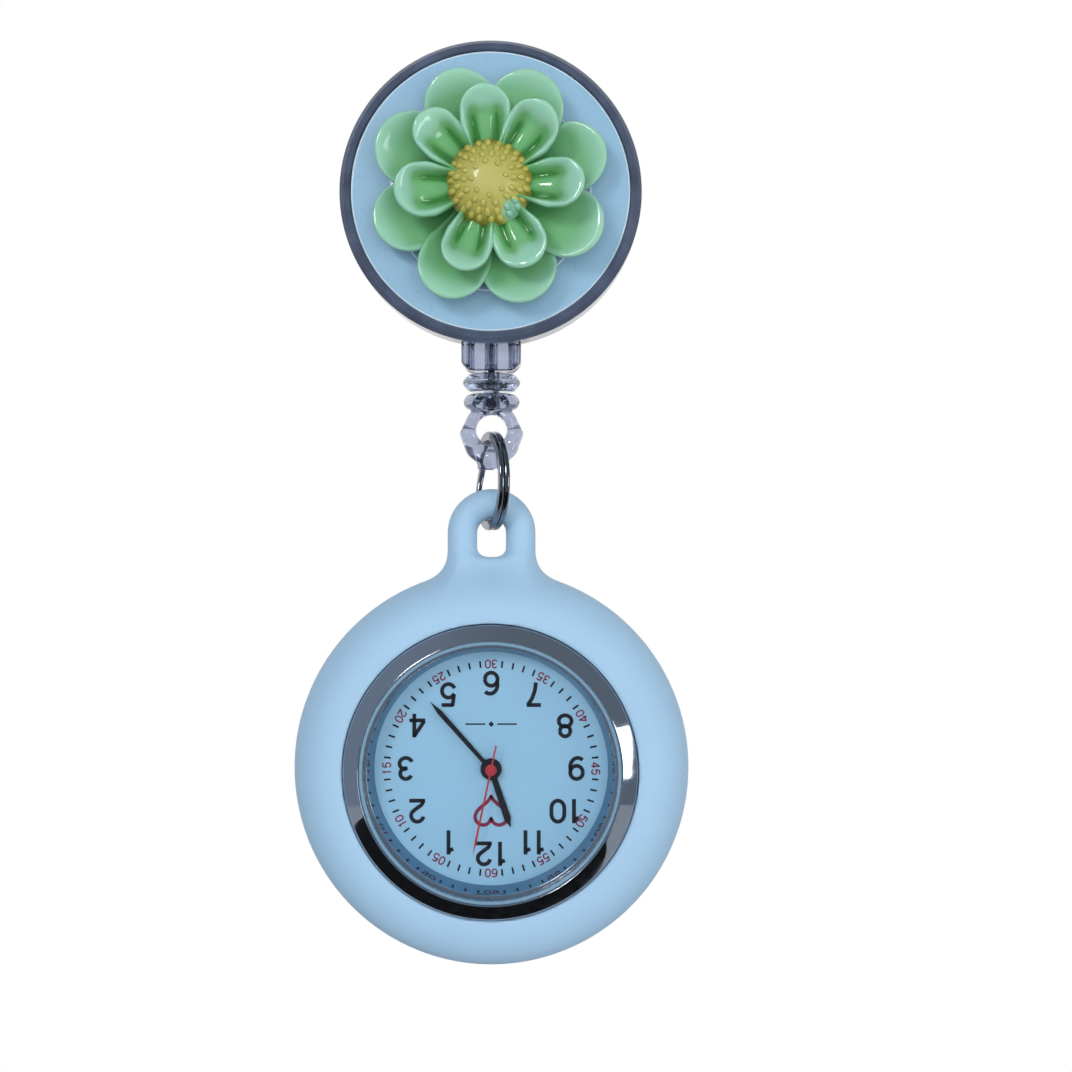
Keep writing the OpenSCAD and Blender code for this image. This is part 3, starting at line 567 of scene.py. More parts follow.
def first_net(inside, low, step):
    """A point in every cell that the surface runs through, and the quads that join such cells."""
    cells = np.zeros([n - 1 for n in inside.shape], int)
    for corner in np.ndindex(2, 2, 2):
        cells += inside[tuple(slice(c, inside.shape[i] - 1 + c) for i, c in enumerate(corner))]
    mixed = (cells > 0) & (cells < 8)
    index = np.full(mixed.shape, -1)
    index[mixed] = np.arange(mixed.sum())
    points = (np.argwhere(mixed) + 0.5) * step + np.array(low)
    faces = []
    for axis in range(3):
        first, second = (axis + 1) % 3, (axis + 2) % 3
        a = inside.take(range(inside.shape[axis] - 1), axis)
        b = inside.take(range(1, inside.shape[axis]), axis)
        where = np.argwhere(a != b)
        where = where[(where[:, first] > 0) & (where[:, second] > 0)]
        where = where[(where[:, first] < mixed.shape[first]) & (where[:, second] < mixed.shape[second])]
        quad = []
        for back_1, back_2 in ((1, 1), (0, 1), (0, 0), (1, 0)):
            at = where.copy()
            at[:, first] -= back_1
            at[:, second] -= back_2
            quad.append(index[tuple(at.T)])
        quad = np.stack(quad, 1)
        flip = ~a[tuple(where.T)]
        quad[flip] = quad[flip][:, ::-1]
        faces.append(quad)
    return points, np.concatenate(faces)


def land(field, points, step, tries=4, nudge=1e-3):
    """Moves points along the field's slope until they lie where it is 0."""
    for _ in range(tries):
        value = field(*points.T)
        slope = np.stack([field(*(points + d).T) - value for d in np.eye(3) * nudge], 1) / nudge
        length = np.maximum((slope ** 2).sum(1), 0.05)
        points = points - np.clip(value / length, -step, step)[:, None] * slope
    return points


def sculpt(field, low, high, step, relax=3, pull=0.6):
    """A smooth closed mesh, in the field's own mm, of the surface where field(x, y, z) is 0."""
    axes = [np.arange(low[i], high[i] + step, step) for i in range(3)]
    inside = field(*np.meshgrid(*axes, indexing="ij")) < 0
    points, faces = first_net(inside, low, step)
    edges = np.concatenate([faces[:, [0, 1]], faces[:, [1, 2]], faces[:, [2, 3]], faces[:, [3, 0]]])
    count = len(points)
    degree = np.bincount(edges[:, 0], minlength=count) + np.bincount(edges[:, 1], minlength=count)
    points = land(field, points, step)
    for _ in range(relax):
        total = np.zeros_like(points)
        np.add.at(total, edges[:, 0], points[edges[:, 1]])
        np.add.at(total, edges[:, 1], points[edges[:, 0]])
        points = land(field, points * (1 - pull) + total / degree[:, None] * pull, step)
    return points, faces


def sculpted(name, place, field, low, high, step, body, slot, mat, nodes):
    """A piece whose surface is where a field is 0."""
    points, faces = sculpt(field, low, high, step)
    mesh = bpy.data.meshes.new(name)
    mesh.from_pydata([place(*p) for p in points], [], faces.tolist())
    mesh.validate()
    dress_mesh(name, mesh, body, slot, mat, nodes, sharp=60)


def smooth_min(a, b, k):
    """The lower of two fields, with a fillet of about k where they meet."""
    h = np.clip(0.5 + 0.5 * (b - a) / k, 0, 1)
    return b + (a - b) * h - k * h * (1 - h)


def smooth_max(a, b, k):
    return -smooth_min(-a, -b, k)


def smoothstep(low, high, value):
    t = min(1, max(0, (value - low) / (high - low)))
    return t * t * (3 - 2 * t)


# ---- the reel ----

DISC_FRONT = front_of("insert_disc")
DISC_R = half_width("insert_disc")
PAD_R = half_width("flower_pad")
PETAL_ROWS = 20
PETAL_COLUMNS = 22
PETAL_WIDE = PETAL_COLUMNS + 1
CUP_AT = 0.42


def edge_ring(name, radius, height, thick=0.12, sides=12):
    """A thin rounded ring, painted pale as a highlight line, on the edge of a disc."""
    angles = np.linspace(0, TAU, sides + 1)[:-1]
    edge = [(radius + thick * math.cos(a), height + thick * math.sin(a)) for a in angles]
    add(name, lathe(REEL, edge, 0, 240), "reel", "pale_blue_plastic", PAINTED_EDGE_GLINT)


def make_reel_case():
    dress("reel_back_shell", "back_shell", "reel", "smoked_plastic", SMOKED, 0.18)
    dress("reel_front_shell", "front_shell", "reel", "smoked_plastic", SMOKED, 0.14)
    low = back_of("insert_disc")
    disc = [(0, low), (DISC_R, low), (DISC_R, DISC_FRONT - 0.1), (DISC_R - 0.2, DISC_FRONT), (0, DISC_FRONT)]
    add("inset_disc", lathe(REEL, disc), "reel", "pale_blue_plastic", DISC_BLUE, ("insert_disc",))
    low, top = back_of("flower_pad"), front_of("flower_pad")
    pad = [(0, low), (PAD_R, low), (PAD_R, top - 0.1), (PAD_R - 0.5, top), (PAD_R - 0.75, top - 0.12),
           (0, top - 0.12)]
    add("flower_pad_disc", lathe(REEL, pad, 0.12), "reel", "pale_blue_plastic", PAD, ("flower_pad",))
    # Pale rings painted on the pad's and the disc's edges as highlight lines
    edge_ring("pad_edge", PAD_R - 0.16, top - 0.14)
    edge_ring("disc_edge", DISC_R - 0.14, DISC_FRONT - 0.12)
    dress("swivel_rivet", "rivet", "reel", "steel", STEEL, 0.2)


def petal_grid(reach, half, neck, root, shape, thick):
    """The upper and lower skin of one petal along +x, and their values of real tone with painted shade and
    painted highlight.

    shape(u, v, x, y) gives a point's height and that value, with u from root to tip and v from side to side.
    """
    upper, lower, tints_up, tints_low = [], [], [], []
    for i in range(PETAL_ROWS + 1):
        u = i / PETAL_ROWS
        width = neck + (half - neck) * smoothstep(0, 0.62, u)
        for j in range(PETAL_WIDE):
            turn = math.radians(-90 + 180 * j / PETAL_COLUMNS)
            v = math.sin(turn)
            x = root + (reach - root) * u - half * (1 - math.cos(turn)) * u ** 2.6
            y = width * v
            z, tint = shape(u, v, x, y)
            upper.append((x, y, z))
            lower.append((x, y, z - thick))
            tints_up.append(tint)
            # The lower skin is painted darker, as shade under the petal
            tints_low.append(tint * 0.6)
    return (upper, tints_up), (lower, tints_low)


def grid_rim():
    """The numbers of the points round a petal's grid, in order."""
    rim = list(range(PETAL_WIDE))
    rim += [i * PETAL_WIDE + PETAL_COLUMNS for i in range(1, PETAL_ROWS + 1)]
    rim += [PETAL_ROWS * PETAL_WIDE + j for j in range(PETAL_COLUMNS - 1, -1, -1)]
    rim += [i * PETAL_WIDE for i in range(PETAL_ROWS - 1, 0, -1)]
    return rim


def add_petal(bm, grids, rim):
    """The faces between a petal's upper and lower grid of points."""
    for grid, flip in zip(grids, (False, True)):
        for i in range(PETAL_ROWS):
            for j in range(PETAL_COLUMNS):
                at = i * PETAL_WIDE + j
                quad = [grid[at], grid[at + 1], grid[at + PETAL_WIDE + 1], grid[at + PETAL_WIDE]]
                bm.faces.new(quad[::-1] if flip else quad)
    upper, lower = grids
    for a, b in zip(rim, rim[1:] + rim[:1]):
        bm.faces.new((upper[a], upper[b], lower[b], lower[a]))


def build_petals(name, low, ways, petal, node, slot, mat, hub):
    """All the petals of one layer in one closed-skinned mesh, with a hub that joins them."""
    bm = bmesh.new()
    tints = []
    rim = grid_rim()
    for n, way in enumerate(ways):
        turn = Matrix.Rotation(math.radians(way), 3, "Z")
        grids = []
        for points, shades in petal(n):
            turned = [turn @ Vector(p) for p in points]
            grids.append([bm.verts.new(REEL(q.x, q.y, low + q.z)) for q in turned])
            tints += shades
        add_petal(bm, grids, rim)
    before = len(bm.verts)
    join_into(bm, lathe(REEL, [(r, low + z) for r, z in hub], 0.2, 48))
    # The hub is painted dark, as shade under the petals
    tints += [0.15] * (len(bm.verts) - before)
    add(name, bm, "reel", slot, mat, (node,), levels=1, sharp=180, tint=tints)


def cup(x, y, centre, radius):
    """Height of a ball's inner face over its lowest point."""
    return radius - math.sqrt(max(0.01, radius ** 2 - (x - centre) ** 2 - y ** 2))


def outer_petal(n, reach):
    """A wide shallow petal with a thin raised lip. Every second one stands higher."""
    radius = 12 + 1.2 * (n % 2)
    lift = 0.85 + 0.75 * (n % 2)

    def shape(u, v, x, y):
        edge = max(abs(v), u)
        z = lift + cup(x, y, reach * CUP_AT, radius) * (0.82 + 0.05 * math.sin(3 * n))
        z += 0.18 * smoothstep(0.72, 0.93, edge) - 0.3 * smoothstep(0.93, 1.0, edge)
        z += 0.08 * math.sin(2.2 * v + n)
        # Painted shade towards the root and a painted highlight on the raised lip, lighter towards the tip
        tint = 0.12 + 0.62 * smoothstep(0.25, 0.95, u) + 0.26 * smoothstep(0.7, 0.98, edge)
        return z, min(1, tint)

    return petal_grid(reach, 3.8 + 0.2 * math.sin(2 * n), 2.2, 2.6, shape, 0.8)


def inner_petal(n, reach):
    """A narrow petal with high folded sides and two creases that run out from its root."""
    radius = 8 + 0.55 * (n % 2) + 0.13 * n
    lift = 1.95 + 0.25 * (n % 3)
    lean = 0.5 * math.sin(2.3 * n + 0.6)
    fold = 0.07 * math.sin(1.7 * n)

    def shape(u, v, x, y):
        edge = max(abs(v), (u - 0.1) / 0.9)
        rim = smoothstep(0.58 + fold, 0.86, edge) * (1 + lean * v)
        away = abs(v - 0.12 * lean) - 0.47
        crease = math.exp(-(away / 0.15) ** 2) * (1 - smoothstep(0.5, 0.86, u))
        z = lift + cup(x, y, reach * CUP_AT, radius) * 0.86
        z += 0.34 + 0.78 * rim - 0.66 * crease - 0.35 * smoothstep(0.92, 1.0, edge)
        z += 0.1 * math.sin(5 * u + 2 * n) + 0.06 * math.sin(6 * v + n)
        # A painted highlight on the raised rims, and painted shade in the creases and towards the root
        tint = 0.52 + 0.48 * min(1, rim) + 0.12 * smoothstep(0.6, 0.9, u) - 0.6 * crease
        return z, min(1, max(0, tint * (0.35 + 0.65 * smoothstep(0.05, 0.55, u))))

    return petal_grid(reach, 2.65 + 0.2 * math.sin(3 * n), 1.6, 2.4, shape, 1.05)


def make_flower():
    node = "flower_outer_petals"
    reach = half_width(node) * 1.04
    ways = [110 - 45 * i for i in range(8)]
    build_petals("outer_petals", back_of(node), ways, lambda n: outer_petal(n, reach), node,
                 "petal_green", OUTER, [(0, 0), (4.4, 0), (4.2, 1.2), (0, 1.2)])
    node = "flower_inner_petals"
    inner_reach = half_width(node) * 1.005
    ways = [93, 51, -2, -63, -109, -172, 137]
    build_petals("inner_petals", back_of(node), ways, lambda n: inner_petal(n, inner_reach), node,
                 "petal_pale_green", INNER, [(0, 0), (3.6, 0), (3.5, 1.8), (0, 1.8)])


DOME_R = 5.0
DOME_SINK = 1.7
# Each ring of grains: its share of the centre's radius, its count, the grains' size in mm, their length
GRAIN_RINGS = ((0.90, 24, 0.40, 1.5), (0.76, 19, 0.37, 1.5), (0.58, 14, 0.34, 1.3), (0.40, 8, 0.30, 1.1))


def add_grain(bm, low, r, a, size, long):
    """One grain lying on the dome, r out from its middle at the angle a."""
    z = math.sqrt(max(0.3, DOME_R ** 2 - r ** 2)) - DOME_SINK
    out = Vector((math.cos(a), math.sin(a), 0))
    up = (out * r + Vector((0, 0, z + DOME_SINK))).normalized()
    across = Vector((0, 0, 1)).cross(out)
    along = across.cross(up).normalized()
    seat = out * r + Vector((0, 0, z))
    for vert in bmesh.ops.create_icosphere(bm, subdivisions=2, radius=1)["verts"]:
        q = vert.co.copy()
        p = seat + along * q.x * size * long + across * q.y * size + up * q.z * size
        vert.co = REEL(p.x, p.y, low + p.z)


def make_flower_centre():
    """A low dome with rings of stubby grains, painted darker towards its foot as shade, and a dab of the
    petals' green on its lower right.
    """
    low = back_of("flower_centre")
    radius = half_width("flower_centre")
    heights = (0, 0.5, 1.0, 1.5, 2.0, 2.4, 2.7, 2.95, 3.12)
    dome = [(math.sqrt(max(0, DOME_R ** 2 - (DOME_SINK + z) ** 2)), low + z) for z in heights]
    bm = lathe(REEL, [(0, low)] + dome + [(0, low + 3.2)], 0, 64)
    rng = random.Random(7)
    for share, count, size, long in GRAIN_RINGS:
        for k in range(count):
            a = (k + 0.3 * rng.random()) * TAU / count
            add_grain(bm, low, share * radius * 0.93, a, size * rng.uniform(0.9, 1.12), long)
    tints = []
    for vert in bm.verts:
        p = (vert.co - REEL.origin) / MM
        x, y, z = p.x, p.z, -p.y - low
        spread = math.hypot(x, y) / radius
        # Painted shade low on the dome and towards its rim; the dab is the real green patch
        dab = smoothstep(1.9, 0.9, math.hypot(x - radius * 0.52, y + radius * 0.66))
        tints.append(max(dab, 0.72 * smoothstep(0.6, 2.6, z) * (1 - 0.2 * spread)))
    add("flower_beads", bm, "reel", "flower_yellow", YELLOW, ("flower_centre",), levels=1, sharp=180,
        tint=tints)


# ---- the cord and what hangs on it ----

CORD_R = half_width("cord_run")
CORD_STEP = 0.1
CORD_TWIST = 1.4
# The cord leaves the spool at the radius WRAP, and the guide's mouth is MOUTH below the reel's middle
WRAP = 10.9
MOUTH = 14.6
MOUTH_BEND = 0.7
LEAD_STEP = 0.15
SPOOL_CORE = 8.02
LAYER_RISE = 0.69
FINE = 0.14


def make_pull_cord():
    """The stretch that is drawn out of the guide."""
    low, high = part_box("cord_run")
    rows = int((high.z - low.z) / MM / CORD_STEP)
    top = cord_span("cord_run")[1]
    run = [CORD(0, top - i * CORD_STEP) for i in range(rows + 1)]
    piece = add("pull_cord", sweep(run, twisted(CORD_R, CORD_TWIST, CORD_STEP)), None, "black_cord",
                BLACK_CORD, ("cord_run",), sharp=180)
    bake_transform(piece)


def make_lead_cord():
    """The cord from the spool's outer turn to the guide's mouth, round a small bend and down."""
    swing = math.acos(WRAP / MOUTH)
    length = math.sqrt(MOUTH ** 2 - WRAP ** 2)
    count = 60
    path = []
    for i in range(count):
        s = length * (1 - i / count)
        path.append((s * math.sin(swing), -MOUTH + s * math.cos(swing)))
    path = [p for p in path if math.hypot(p[0], p[1] + MOUTH) > MOUTH_BEND]
    start, corner, end = Vector(path[-1]), Vector((0, -MOUTH)), Vector((0, -MOUTH - MOUTH_BEND))
    path += [tuple(curve_point(start, corner, end, i / 7)) for i in range(1, 7)]
    bottom = cord_span("cord_lead")[0]
    y = -MOUTH - MOUTH_BEND
    while y > bottom:
        path.append((0, y))
        y -= LEAD_STEP
    points = [CORD(a, b) for a, b in path]
    add("lead_cord", sweep(points, twisted(CORD_R, CORD_TWIST, LEAD_STEP)), "reel", "black_cord",
        BLACK_CORD, ("cord_lead",), sharp=180)


def make_wound_cord():
    """Eleven turns on the spool, in three layers that run to and fro."""
    pitch = 2 * CORD_R + 0.06
    inmost = SPOOL_CORE + CORD_R
    per_turn = 72
    wound = []
    for radius, turns, way in ((inmost, 4, 1), (inmost + LAYER_RISE, 3, -1), (inmost + 2 * LAYER_RISE, 4, 1)):
        for i in range(turns * per_turn):
            t = i / per_turn
            across = way * (t - turns / 2) * pitch * (turns - 1) / turns
            a = t * TAU
            wound.append(CORD(radius * math.cos(a), radius * math.sin(a), across))
    arc = TAU * 9.2 / per_turn
    add("wound_cord", sweep(wound, twisted(CORD_R, 1.6, arc, 10)), "spool", "black_cord", BLACK_CORD,
        ("cord_winding",), sharp=180)


def make_guide():
    """The clear block that the cord runs out of, cut away at its foot, with a pocket in each half."""
    low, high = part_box("cord_guide")
    foot, top = cord_span("cord_guide")
    wide, deep = half_width("cord_guide"), (high.y - low.y) / 2 / MM

    def field(x, y, z):
        block = smooth_max(smooth_max(np.abs(x) - wide, np.abs(z) - deep, 0.5),
                           np.maximum(y - top, foot - y), 0.35)
        block = smooth_max(block, (np.abs(x) - (y - foot) - wide + 0.8) * 0.7071, 0.2)
        bore = 0.75 + np.clip(y + 15, 0, 2) * 1.05 - np.hypot(x, z)
        pocket = smooth_max(np.hypot((np.abs(x) - 2.25) * 1.6, z) - 0.75, y + 15.7, 0.2)
        return smooth_max(smooth_max(block, bore, 0.12), -pocket, 0.15)

    sculpted("guide_block", CORD, field, (-wide - 0.4, foot - 0.4, -deep - 0.4),
             (wide + 0.4, top + 0.4, deep + 0.4), FINE, "reel", "clear_plastic", CLEAR, ("cord_guide",))


def make_stopper():
    """The turned clear cap that stops the cord against the guide."""
    low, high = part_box("stop_cap")
    foot, tall = cord_span("stop_cap")[0], (high.z - low.z) / MM
    wide = half_width("stop_cap")
    cap = lathe(Place((0, 0, 0)), [
        (0.7, 0), (wide - 0.65, 0), (wide, tall * 0.42), (wide, tall * 0.6), (wide - 0.6, tall), (0.7, tall)
    ], 0.3, 96)
    for vert in cap.verts:
        x, z, y = vert.co.x / MM, -vert.co.z / MM, -vert.co.y / MM
        vert.co = CORD(x, foot + y, z)
    add("stopper", cap, "cord_end", "clear_plastic", CLEAR, ("stop_cap",), sharp=50)


def make_eye():
    """The clear eye: a disc at its top, a faceted ring, and a tongue under it that narrows downwards."""
    lug_end, lug_top = cord_span("eye_lug")
    wide = half_width("eye_lug")
    disc_r = wide - 0.32
    disc_y = lug_top - 1.02
    fat = (wide - 1.6) / 2
    eye_y = lug_top - 4.45
    hole_y = lug_top - 4.05

    def field(x, y, z):
        disc = np.hypot(np.maximum(np.hypot(x, z) - disc_r + 0.85, 0), y - disc_y) - 0.85
        disc = np.maximum(disc, np.abs(y - disc_y) - 1.0)
        facets = 0.07 * np.cos(8 * np.arctan2(y - eye_y, x)) - 0.07
        ball = np.hypot(np.hypot(x, y - eye_y + 0.1) - 1.6 - fat, z / 1.4) - fat - facets
        spread = 1.5 + np.clip(y - lug_end - 0.9, 0, 4) * 0.55
        waist = smooth_max(np.abs(x) - spread, np.abs(z) - 0.95, 0.5)
        waist = smooth_max(waist, np.maximum(y - eye_y, lug_end + 0.1 - y), 0.25)
        body = smooth_min(smooth_min(ball, waist, 0.6), disc, 0.35)
        bore = 1.62 + 0.16 * np.abs(z) ** 3 - np.hypot(x, y - hole_y)
        socket = np.minimum(1.36 - np.hypot(x, z), y - (lug_top - 1.62))
        return smooth_max(smooth_max(body, bore, 0.15), socket, 0.1)

    sculpted("eye_fitting", CORD, field, (-3.6, lug_end - 0.5, -3.4), (3.6, lug_top + 0.5, 3.4), FINE,
             "cord_end", "clear_plastic", CLEAR, ("eye_lug",))


def make_knot():
    """The cord's knot inside the stopper, a closed trefoil."""
    centre = middle("cord_knot")
    turns = 150
    path = []
    for i in range(turns):
        a = i / turns * TAU
        x = math.sin(a) + 2 * math.sin(2 * a)
        y = math.cos(a) - 2 * math.cos(2 * a)
        loop = Vector((x, y, -math.sin(3 * a)))
        path.append(centre + Matrix.Rotation(0.6, 3, "X") @ (loop * 0.28 * MM))
    knot = sweep(path, twisted(0.42, 1.2, 0.08, 14), closed=True)
    add("knot", knot, "cord_end", "black_cord", BLACK_CORD, ("cord_knot",), sharp=180)


def make_split_ring():
    """One strip wound nearly twice round, with the step between its coils at the back."""
    low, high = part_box("split_ring")
    centre = (low + high) / 2
    strip, stack, turn = 1.0, 1.2, math.radians(17)
    mid = (high.z - low.z) / 2 / MM - strip / 2
    axis = Vector((math.cos(turn), math.sin(turn), 0))
    flat = Vector((-math.sin(turn), math.cos(turn), 0))
    up = Vector((0, 0, 1))
    first, last, steps = 33, 687, 300
    wide, tall = stack / 4 - 0.02, strip / 2
    section = rounded([(-wide, -tall), (wide, -tall), (wide, tall), (-wide, tall)], 0.2, 3, False)
    bm = bmesh.new()
    loops = []
    for i in range(steps + 1):
        degrees = first + (last - first) * i / steps
        a = math.radians(degrees)
        shift = (smoothstep(330, 390, degrees) - 0.5) * stack / 2
        here = centre + (flat * math.cos(a) + up * math.sin(a)) * mid * MM + axis * shift * MM
        out = here - centre
        out = (out - axis * out.dot(axis)).normalized()
        loops.append([bm.verts.new(here + axis * x * MM + out * y * MM) for x, y in section])
    skin(bm, loops)
    add("ring_strip", bm, "link", "steel", RING_STEEL, ("split_ring",), sharp=50)


# ---- the watch ----

SLEEVE_R = half_width("silicone_sleeve")
BEZEL_R = half_width("bezel")
TUBE_R = 5.2
TUBE_MID = SLEEVE_R - TUBE_R
TUBE_Z = -0.2
TAB_TUBE = 1.6
TAB_MAJOR = 3.15
SLEEVE_TOP = (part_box("silicone_sleeve")[1].z - WATCH.origin.z) / MM
TAB_Y = SLEEVE_TOP - TAB_TUBE - TAB_MAJOR
HOLE_LOW = 22.45
# The case's seat in the sleeve: below each height, the radius of the hollow
SEAT_STEPS = ((-4.65, 12.0), (-2.52, 14.5), (2.03, 16.44))
SEAT_MOUTH = BEZEL_R + 0.08


def sleeve_field(x, y, z):
    """The soft sleeve: a fat ring with a flat back, a loop drawn out of its top, and the case's seat."""
    r = np.hypot(x, y)
    ring = np.hypot(r - TUBE_MID, z - TUBE_Z) - TUBE_R
    back = smooth_max(np.abs(r - 14) - 2, np.abs(z + 3.9) - 1.5, 0.3)
    body = smooth_min(ring, back, 0.3)
    side = np.abs(x)
    arc = np.hypot(np.hypot(x, np.maximum(y - TAB_Y, 0)) - TAB_MAJOR, z)
    leg = np.hypot(side - TAB_MAJOR, z)
    loop = np.where(y > TAB_Y, arc, leg) - TAB_TUBE
    web = smooth_max(np.maximum(side - TAB_MAJOR, y - HOLE_LOW), np.abs(z) - TAB_TUBE * 0.9, 0.5)
    tab = smooth_max(smooth_min(loop, web, 1.3), 16 - y, 0.5)
    body = smooth_min(body, tab, 2.6)
    seat = r - np.select([z < top for top, _ in SEAT_STEPS], [hollow for _, hollow in SEAT_STEPS], SEAT_MOUTH)
    crown = np.maximum(np.hypot(y, z + 1.1) - 2.05, np.maximum(x + 15.4, -19.7 - x))
    return smooth_max(body, -np.minimum(seat, crown), 0.22)


def make_sleeve():
    sculpted("soft_sleeve", WATCH, sleeve_field, (-21.6, -21.6, -6), (21.6, SLEEVE_TOP + 0.6, 5.8),
             0.33, "watch", "silicone_blue", SILICONE, ("silicone_sleeve",))


def make_watch_case():
    bezel = [(13.55, 2.05), (BEZEL_R, 2.05), (BEZEL_R, 4.8), (BEZEL_R - 0.12, 4.96), (14.02, 5.72),
             (13.94, 5.75), (13.85, 5.66), (13.85, 4.22), (13.1, 4.22), (13.1, 3.95), (13.55, 3.95)]
    crystal = [(0, 4.25), (13.42, 4.25), (13.42, 5.35), (13.2, 5.55), (0, 5.55)]
    gasket = [(13.45, 4.25), (13.83, 4.25), (13.83, 5.5), (13.45, 5.5)]
    mirror = [(12.5, 1.65), (13.5, 1.65), (13.5, 3.9), (13.2, 3.9)]
    add("bezel_ring", lathe(WATCH, bezel, 0.07, 240), "watch", "chrome_bezel", CHROME, ("bezel",), sharp=60)
    add("glass", lathe(WATCH, crystal, 0.08), "watch", "crystal", GLASS, ("crystal",), sharp=30)
    add("glass_gasket", lathe(WATCH, gasket), "watch", "white_plastic", GASKET, ("crystal_gasket",))
    add("mirror_ring", lathe(WATCH, mirror, 0.05, 240), "watch", "chrome_bezel", MIRROR, ("dial_ring",),
        sharp=30)
    dress("case_back", "back_lid", "watch", "steel", TURNED, 0.12)
    dress("case_middle", "case_body", "watch", "steel", STEEL, 0.08)


# ---- the dial ----

DIAL_TOP = 1.6
PRINT = 0.025
HOURS_R = 9.15
MINUTES_R = 11.2
RULE_Y = 4.76
HEART_Y = -4.5
HEART_SCALE = 0.108
UPRIGHT = Vector((0, -1))
DIAGONAL = Vector((0.7071, 0.7071))


def clock_place(turn, radius):
    """Where a clock angle falls, seen from the front: the dial hangs with its 12 at the bottom."""
    a = math.radians(turn)
    return Vector((-math.sin(a), -math.cos(a))) * radius


def bow(x, y, wide, tall, first, last, steps=20):
    """Points along part of an ellipse, between two angles in degrees."""
    turns = [math.radians(first + (last - first) * i / steps) for i in range(steps + 1)]
    return [(x + wide * math.cos(a), y + tall * math.sin(a)) for a in turns]


FIGURE_HIGH = 2.68
# Each figure's strokes: lines down the middle of the ink, which adds 0.42 to their width and height
STROKES = {
    "0": [bow(0, 0.3, 0.69, 0.83, 0, 180) + bow(0, -0.3, 0.69, 0.83, 180, 360) + [(0.69, 0.32)]],
    "1": [[(0, -1.3), (0, 1.3)], [(0, 1.0), (-0.2, 0.82), (-0.52, 0.7)]],
    "2": [bow(0, 0.46, 0.66, 0.67, 170, -28) + [(0.3, -0.12), (-0.5, -0.72), (-0.68, -1.16)],
          [(-0.84, -1.12), (0.86, -1.12)]],
    "3": [bow(0, 0.54, 0.6, 0.59, 160, -90), bow(0, -0.52, 0.68, 0.61, 90, -162), [(-0.2, 0), (0.1, 0)]],
    "4": [[(0.32, -1.3), (0.32, 1.24)], [(0.36, 1.16), (-0.74, -0.5)], [(-0.86, -0.58), (0.84, -0.58)]],
    "5": [[(0.74, 1.12), (-0.52, 1.12)], [(-0.42, 1.2), (-0.6, -0.06)],
          [(-0.62, -0.1)] + bow(0, -0.4, 0.7, 0.73, 128, -158)],
    "6": [bow(0, -0.42, 0.68, 0.71, 0, 360), bow(0.13, 0.16, 0.81, 0.97, 50, 205)],
    "7": [[(-0.76, 1.12), (0.78, 1.12)], [(0.64, 1.12), (0.2, 0.42), (-0.1, -0.4), (-0.22, -1.3)]],
    "8": [bow(0, 0.56, 0.56, 0.57, 0, 360), bow(0, -0.52, 0.69, 0.61, 0, 360)],
}
STROKES["9"] = [[(-x, -y) for x, y in stroke] for stroke in STROKES["6"]]


def band(points, width, closed=False):
    """A flat band of even width along a line of points."""
    bm = bmesh.new()
    count = len(points)
    loops = []
    for i, point in enumerate(points):
        after = points[(i + 1) % count] if closed else points[min(i + 1, count - 1)]
        before = points[i - 1] if closed else points[max(i - 1, 0)]
        along = (Vector(after) - Vector(before)).normalized()
        out = Vector((along.y, -along.x)) * width / 2
        here = Vector(point)
        loops.append((bm.verts.new((*(here + out), 0)), bm.verts.new((*(here - out), 0))))
    for i in range(count if closed else count - 1):
        a, b = loops[i], loops[(i + 1) % count]
        bm.faces.new((a[0], b[0], b[1], a[1]))
    return bm


def figure_mesh(text, height, ink):
    """A number of the given height about its own middle, as flat printed strokes."""
    gap = {"11": (-0.52, 0.9), "10": (-0.95, 0.78), "12": (-0.95, 0.78)}.get(text, (-0.98, 0.98))
    middles = gap if len(text) == 2 else (0,)
    scale = height / FIGURE_HIGH
    bm = bmesh.new()
    for digit, middle_x in zip(text, middles):
        for stroke in STROKES[digit]:
            join_into(bm, band([((x + middle_x) * scale, y * scale) for x, y in stroke], ink))
    return bm


def print_on_dial(bm, shape, at, up):
    """Lays a flat shape on the dial at a point, its top towards up, and gives it the ink's thickness."""
    side = Vector((up.y, -up.x))
    thickness = Vector((0, -PRINT * MM, 0))
    shape.verts.index_update()
    foot, top = [], []
    for v in shape.verts:
        p = at + side * v.co.x + up * v.co.y
        foot.append(bm.verts.new(WATCH(p.x, p.y, DIAL_TOP)))
        top.append(bm.verts.new(foot[-1].co + thickness))
    for face in shape.faces:
        numbers = [v.index for v in face.verts]
        bm.faces.new([top[n] for n in numbers])
        bm.faces.new([foot[n] for n in reversed(numbers)])
    for edge in shape.edges:
        if edge.is_boundary:
            a, b = (v.index for v in edge.verts)
            bm.faces.new((foot[a], foot[b], top[b], top[a]))
    shape.free()


def print_minutes(black, red):
    """A tick for each minute, and a small red number at every fifth, turned round on the 6's side."""
    for minute in range(1, 61):
        at = clock_place(minute * 6, MINUTES_R)
        outward = at.normalized()
        if minute % 5:
            print_on_dial(black, band([(0, -0.36), (0, 0.36)], 0.2), at, outward)
        else:
            up = -outward if 20 <= minute <= 40 else outward
            print_on_dial(red, figure_mesh(f"{minute:02d}", 0.98, 0.15), at, up)


def heart_outline():
    points = []
    for i in range(72):
        t = i / 72 * TAU
        x = 16 * math.sin(t) ** 3
        y = 13 * math.cos(t) - 5 * math.cos(2 * t) - 2 * math.cos(3 * t) - math.cos(4 * t) + 2.5
        points.append((x * HEART_SCALE, y * HEART_SCALE))
    return points


